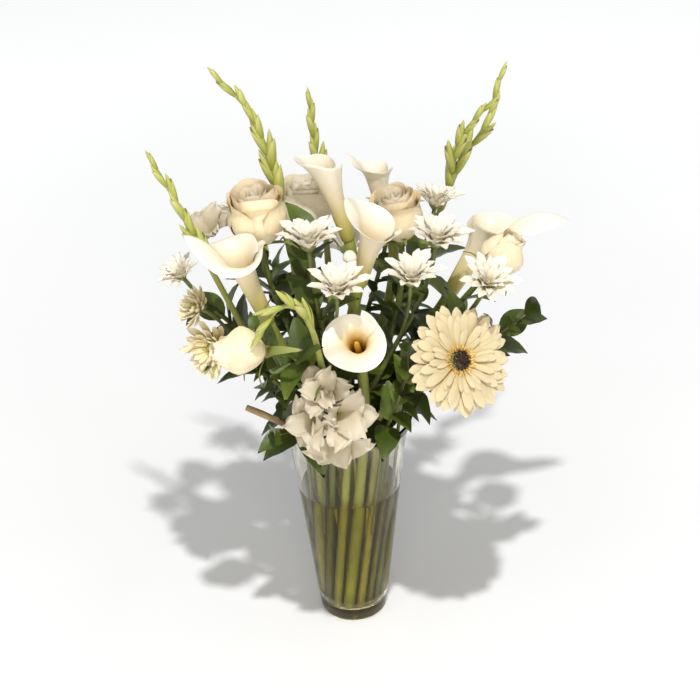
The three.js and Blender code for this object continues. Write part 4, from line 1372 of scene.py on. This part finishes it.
# %% Gerbera head
GERBERA_CENTRE = (104, -98, 116)
GERBERA_AXIS = (0.36, -0.74, 0.56)
GERBERA_RADIUS = 50 * MM
GERBERA_DEPTH = 11 * MM
BLUNT_PETAL = template(sheet_mesh("blunt_petal", strap_shape(0.135, -0.12, 0.04), 9, 4, 0.012))
FINE_PETAL = template(sheet_mesh("fine_petal", strap_shape(0.10, 0.5, 0.10), 4, 2, 0.02))
# Each row: petals, ring in mm, pitch, size as a share of the radius, height in mm, wobble, seed.
GERBERA_ROWS = [
    (34, 10, (2, 4), (0.78, 0.76), (0, 1), 0.07, 4),
    (34, 9, (7, 9), (0.72, 0.66), (1, 2), 0.1, 9),
    (26, 10, (14, 20), (0.50, 0.32), (2, 3), 0.14, 12),
]


def gerbera_mesh(name):
    base = GERBERA_DEPTH * 0.55
    rows = []
    for count, ring, pitch, size, height, wobble, seed in GERBERA_ROWS:
        rows.append(whorl(BLUNT_PETAL, GERBERA_CREAM, count, ring=(ring * MM, ring * MM), pitch=pitch,
                          size=[s * GERBERA_RADIUS for s in size],
                          height=[base + h * MM for h in height], wobble=wobble, seed=seed))
    ring = whorl(FINE_PETAL, GERBERA_RING, 150, ring=(11 * MM, 8 * MM), pitch=(25, 65),
                 size=(5.5 * MM, 4 * MM), height=(base + 3 * MM, base + 4.5 * MM), wobble=0.25, seed=15)
    eye = whorl(EYE_FLORET, GERBERA_EYE, 170, ring=(8.2 * MM, 0.3 * MM), pitch=(-10, 0),
                size=(1.2 * MM, 0.8 * MM), height=(base + 4.5 * MM, base + 5.5 * MM),
                rise=(2.6 * MM, 1.8 * MM), wobble=0.2, seed=18)
    return joined_mesh(name, [*rows, ring, eye, daisy_cup(11 * MM, GERBERA_DEPTH * 0.6)])


neck, axis, place = stand(GERBERA_CENTRE, GERBERA_AXIS, GERBERA_DEPTH)
gerbera = gerbera_mesh("gerbera_head")
gerbera.transform(place)
place_piece("gerbera_head", gerbera, "gerbera_petals", "gerbera_bloom")
radius = STEM_RADIUS["gerbera"]
gerbera_stalk = tube_mesh("gerbera_stalk", stem_points(stretch(OUTER_RING, 6), neck, axis),
                          [radius, radius, 3.2 * MM], STEM_GERBERA, swell=0.05)
place_piece("gerbera_stalk", gerbera_stalk, "gerbera_stem", "gerbera_stem")
print("gerbera", round(2 * GERBERA_RADIUS, 3), "m across")

# %% [markdown]
# ## Gladiolus spikes
# The buds of a gladiolus stand in two rows, each tucked into a green sheath, and shrink
# towards the tip, so that the spike looks like a chain of pods. One pod and one sheath make a
# template, which the stalk tree repeats half a turn apart.

# %% Pods
POD_PROFILE = [(0, -0.02), (0.04, 0.02), (0.085, 0.22), (0.100, 0.42), (0.082, 0.68),
               (0.038, 0.9), (0.010, 0.985), (0, 1.0)]


def pod_template():
    """A pod one unit long on +X, held by a sheath on its lower half."""
    pod = lathe_mesh("pod", POD_PROFILE, 10)
    pod.transform(Matrix.Rotation(math.radians(90), 4, "Y"))

    def shape(across, along):
        angle = math.radians(150) * across * (1 - 0.55 * along ** 2)
        radius = 0.05 + 0.08 * math.sin(math.pi * min(along * 1.1, 1) * 0.62) - 0.025 * along
        return (along * 0.8 * (1 - 0.15 * across ** 2), radius * math.sin(angle), -radius * math.cos(angle))

    sheath = sheet_mesh("sheath", shape, 7, 6, 0.012)
    return template(joined_mesh("pod", [pod, sheath]))


POD = pod_template()
print("pod with", len(POD.data.polygons), "faces")

# %% [markdown]
# A spike's points follow its free end. The right one forks, and the arching one bends down
# over the rim.

# %% Five spikes
SPIKES = [
    {"name": "gladiolus_left", "path": (OUTER_RING, 0), "fan": (0, 0.3, 1),
     "points": [(-98, -10, 118), (-122, -8, 177), (-145, -5, 235), (-165, 0, 278)],
     "pods": (7, 0.3, 44, 24)},
    {"name": "gladiolus_tall_left", "path": (OUTER_RING, 15), "fan": (1, -0.2, 0.3),
     "points": [(-50, 32, 190), (-62, 38, 256), (-78, 40, 303), (-106, 40, 338)],
     "pods": (9, 0.12, 47, 24)},
    {"name": "gladiolus_back", "path": (OUTER_RING, 13), "fan": (1, 0.2, 0),
     "points": [(-16, 96, 186), (-20, 103, 232), (-23, 107, 276)],
     "pods": (6, 0.12, 40, 24)},
    {"name": "gladiolus_right", "path": (OUTER_RING, 10), "fan": (-1, 0.3, 0.6),
     "points": [(98, 78, 178), (116, 76, 226), (138, 75, 262), (153, 77, 314)],
     "pods": (8, 0.12, 44, 22), "branch": [(106, 77, 200), (113, 62, 252), (139, 52, 293)],
     "branch_pods": (6, 0.15, 42, 22)},
    {"name": "gladiolus_arching", "path": (OUTER_RING, 4), "fan": (0, 0.4, 1),
     "points": [(-20, -78, 100), (-26, -100, 150), (-36, -112, 182), (-54, -116, 188), (-74, -116, 160)],
     "pods": (6, 0.42, 40, 26)},
]


def spike_pods(path, pods, fan, seed):
    """pods are their count, where they start, and the first one's and last one's length."""
    count, start, first, last = pods
    return stalk(path, POD, BUD_GREEN, count, reach=(start, 0.93), lean=(8, 2),
                 size=(first * MM, last * MM), turn=HALF_TURN, fan=fan, wobble=0.08, seed=seed)


for number, spike in enumerate(SPIKES):
    straight = stretch(*spike["path"])
    knots = [above_rim(p) for p in spike["points"]]
    lower = straight_part(straight) + free_curve(straight, knots[0], (knots[1] - knots[0]).normalized())
    upper = smooth_path(knots)
    radii = [STEM_RADIUS["spike"], 3.7 * MM, 2.6 * MM, 1.2 * MM]
    parts = [tube_mesh("spike", lower + upper[1:], radii, STEM_SPIKE, swell=0.05),
             spike_pods(upper, spike["pods"], spike["fan"], seed=number + 60)]
    if "branch" in spike:
        side = smooth_path([above_rim(p) for p in spike["branch"]])
        parts.append(tube_mesh("spike_branch", side, [2.0 * MM, 1.0 * MM], STEM_SPIKE))
        parts.append(spike_pods(side, spike["branch_pods"], (-1, 0, 0.6), seed=number + 80))
    place_piece(spike["name"] + "_spike", joined_mesh("spike", parts), "gladiolus_spike",
                spike["name"])
print(len(SPIKES), "gladiolus spikes")

# %% [markdown]
# ## Open gladiolus flowers
# Lower down the arching spike its flowers are open and hang over the rim: trumpets of six
# broad, ruffled petals, three inside and three outside.

# %% Ruffled flowers


def tepal_shape(across, along):
    half = 0.36 * math.sin(math.pi * along ** 1.5 * 0.91) ** 0.7 + 0.03 * (1 - along)
    edge = max(abs(across), smoothstep(along, 0.75, 1.0))
    half *= 1 + 0.07 * math.sin(along * 15) * edge ** 3
    y = half * across
    ruffle = 0.085 * math.sin(across * 5.5 + along * 11) * smoothstep(along, 0.25, 0.9) * edge
    z = 0.4 * y * y / 0.34 + ruffle - 0.34 * along ** 3 + 0.22 * along
    return (along * (1 - 0.10 * across ** 2), y, z)


TEPAL = template(sheet_mesh("tepal", tepal_shape, 16, 12, 0.008))

FLORETS = {
    "gladiolus_florets_front": [
        ((-22, -104, 92), (-0.2, -0.75, 0.6), 22, 16), ((-2, -106, 66), (0.35, -0.85, 0.35), 26, 18),
        ((-34, -104, 58), (-0.45, -0.85, 0.25), 24, 18), ((-12, -106, 34), (0, -0.95, -0.1), 26, 18),
    ],
    "gladiolus_florets_left": [((-122, 19, 200), (-0.3, -0.3, 0.85), 20, 18)],
}


def floret_mesh(radius, depth, seed):
    """A trumpet whose throat is at -depth and whose petals open at the origin."""
    size = math.hypot(radius, depth) * MM * 1.12
    parts = []
    for order, (pitch, share, sunk) in enumerate((((34, 38), 1, 1), ((48, 54), 0.92, 0.9))):
        part = whorl(TEPAL, FLORET_WHITE_PAINTED_SHADE, 3, ring=(MM, MM), pitch=pitch, size=(size * share, size * share),
                     height=(-depth * MM * sunk, -depth * MM * sunk), turn=math.radians(120),
                     wobble=0.15, seed=seed + order)
        part.transform(Matrix.Rotation(math.radians(60) * order, 4, "Z"))
        parts.append(part)
    return parts


for name, florets in FLORETS.items():
    parts = []
    for number, (centre, facing, radius, depth) in enumerate(florets):
        for part in floret_mesh(radius, depth, seed=number * 5 + 2):
            part.transform(frame_matrix(above_rim(centre), facing))
            parts.append(part)
    place_piece(name + "_open", joined_mesh("florets", parts), "gladiolus_petals", name)
print("open flowers", sum(len(f) for f in FLORETS.values()))

# %% [markdown]
# ## Leaf sprigs
# Woody sprigs of the same glossy leaf stand round the rim. Their leaves alternate from side to
# side, and one more ends the sprig. The short brown twig on the left is a cut end.

# %% Sprigs
SPRIGS = [
    {"name": "leaf_sprig_right", "path": (SPRIG_RING, 7), "fan": (0, -0.6, 0.8),
     "points": [(84, -34, 56), (142, -42, 108), (168, -42, 128)], "leaves": (13, 52, 0.35)},
    {"name": "leaf_sprig_rim_left", "path": (SPRIG_RING, 2), "fan": (-0.2, -0.6, 0.8),
     "points": [(-48, -66, 24), (-62, -78, 30)], "leaves": (5, 38, 0.4)},
    {"name": "leaf_sprig_front", "path": (SPRIG_RING, 5), "fan": (0.3, -0.8, 0.5),
     "points": [(44, -62, 40), (56, -68, 86), (57, -72, 112)], "leaves": (9, 40, 0.15)},
    {"name": "leaf_sprig_left", "path": (SPRIG_RING, 1), "fan": (-0.3, -0.8, 0.5),
     "points": [(-58, -48, 80), (-78, -56, 130)], "leaves": (8, 36, 0.2)},
    {"name": "leaf_sprig_upright", "path": (INNER_SPRIG_RING, 0), "fan": (-0.2, 0.9, -0.3),
     "points": [(-34, 8, 80), (-30, 8, 150), (-27, 6, 190)], "leaves": (5, 44, 0.5)},
    {"name": "leaf_sprig_back_right", "path": (SPRIG_RING, 10), "fan": (0.3, 0.6, 0.7),
     "points": [(50, 72, 60), (80, 98, 100), (100, 112, 112)], "leaves": (9, 42, 0.25)},
    {"name": "leaf_sprig_back_left", "path": (SPRIG_RING, 13), "fan": (-0.3, 0.6, 0.7),
     "points": [(-44, 68, 60), (-62, 98, 100), (-80, 114, 112)], "leaves": (9, 42, 0.25)},
]
TWIG_POINTS = [(-62, -60, 32), (-78, -59, 41), (-92, -58, 48)]
TWIG_RADII = [2.8 * MM, 3.0 * MM, 3.4 * MM, 2.6 * MM]
TWIG_SPRIG = "leaf_sprig_rim_left"
TWIG_FORK = 0.3

for number, sprig in enumerate(SPRIGS):
    straight = stretch(*sprig["path"], foot_height=SPRIG_FOOT)
    upper = smooth_path([straight[1], *[above_rim(p) for p in sprig["points"]]])
    radius = STEM_RADIUS["sprig"]
    count, size, start = sprig["leaves"]
    parts = [
        tube_mesh("twig", straight_part(straight) + upper, [radius, radius, 1.0 * MM], STEM_LEAFY, 10),
        stalk(upper, BROAD_LEAF, LEAF_GLOSS, count, reach=(start, 0.98), lean=(58, 34),
              size=(size * MM, size * 0.8 * MM), turn=HALF_TURN, fan=sprig["fan"], wobble=0.28,
              seed=number + 100),
    ]
    place_piece(sprig["name"] + "_sprig", joined_mesh("sprig", parts), "leaf", sprig["name"])
    if sprig["name"] == TWIG_SPRIG:
        fork, _ = point_on(upper, TWIG_FORK)
        twig = tube_mesh("cut_twig", smooth_path([fork, *[above_rim(p) for p in TWIG_POINTS]]),
                         TWIG_RADII, TWIG_BARK, swell=0.3)
        place_piece("cut_twig", twig, "leaf")
print(len(SPRIGS), "sprigs")

# %% [markdown]
# ## Clearing away
# The templates have done their work and go. Then the triangles of what is shown are counted.
# The flowers must stay inside the CAD model's box, apart from a few millimetres.

# %% Clearing away and counting
for thing in TEMPLATES:
    bpy.data.objects.remove(thing)

shown = [o for o in bpy.context.scene.objects if o.type == "MESH" and not o.hide_render]
print("triangles", sum(len(p.vertices) - 2 for o in shown for p in o.data.polygons))
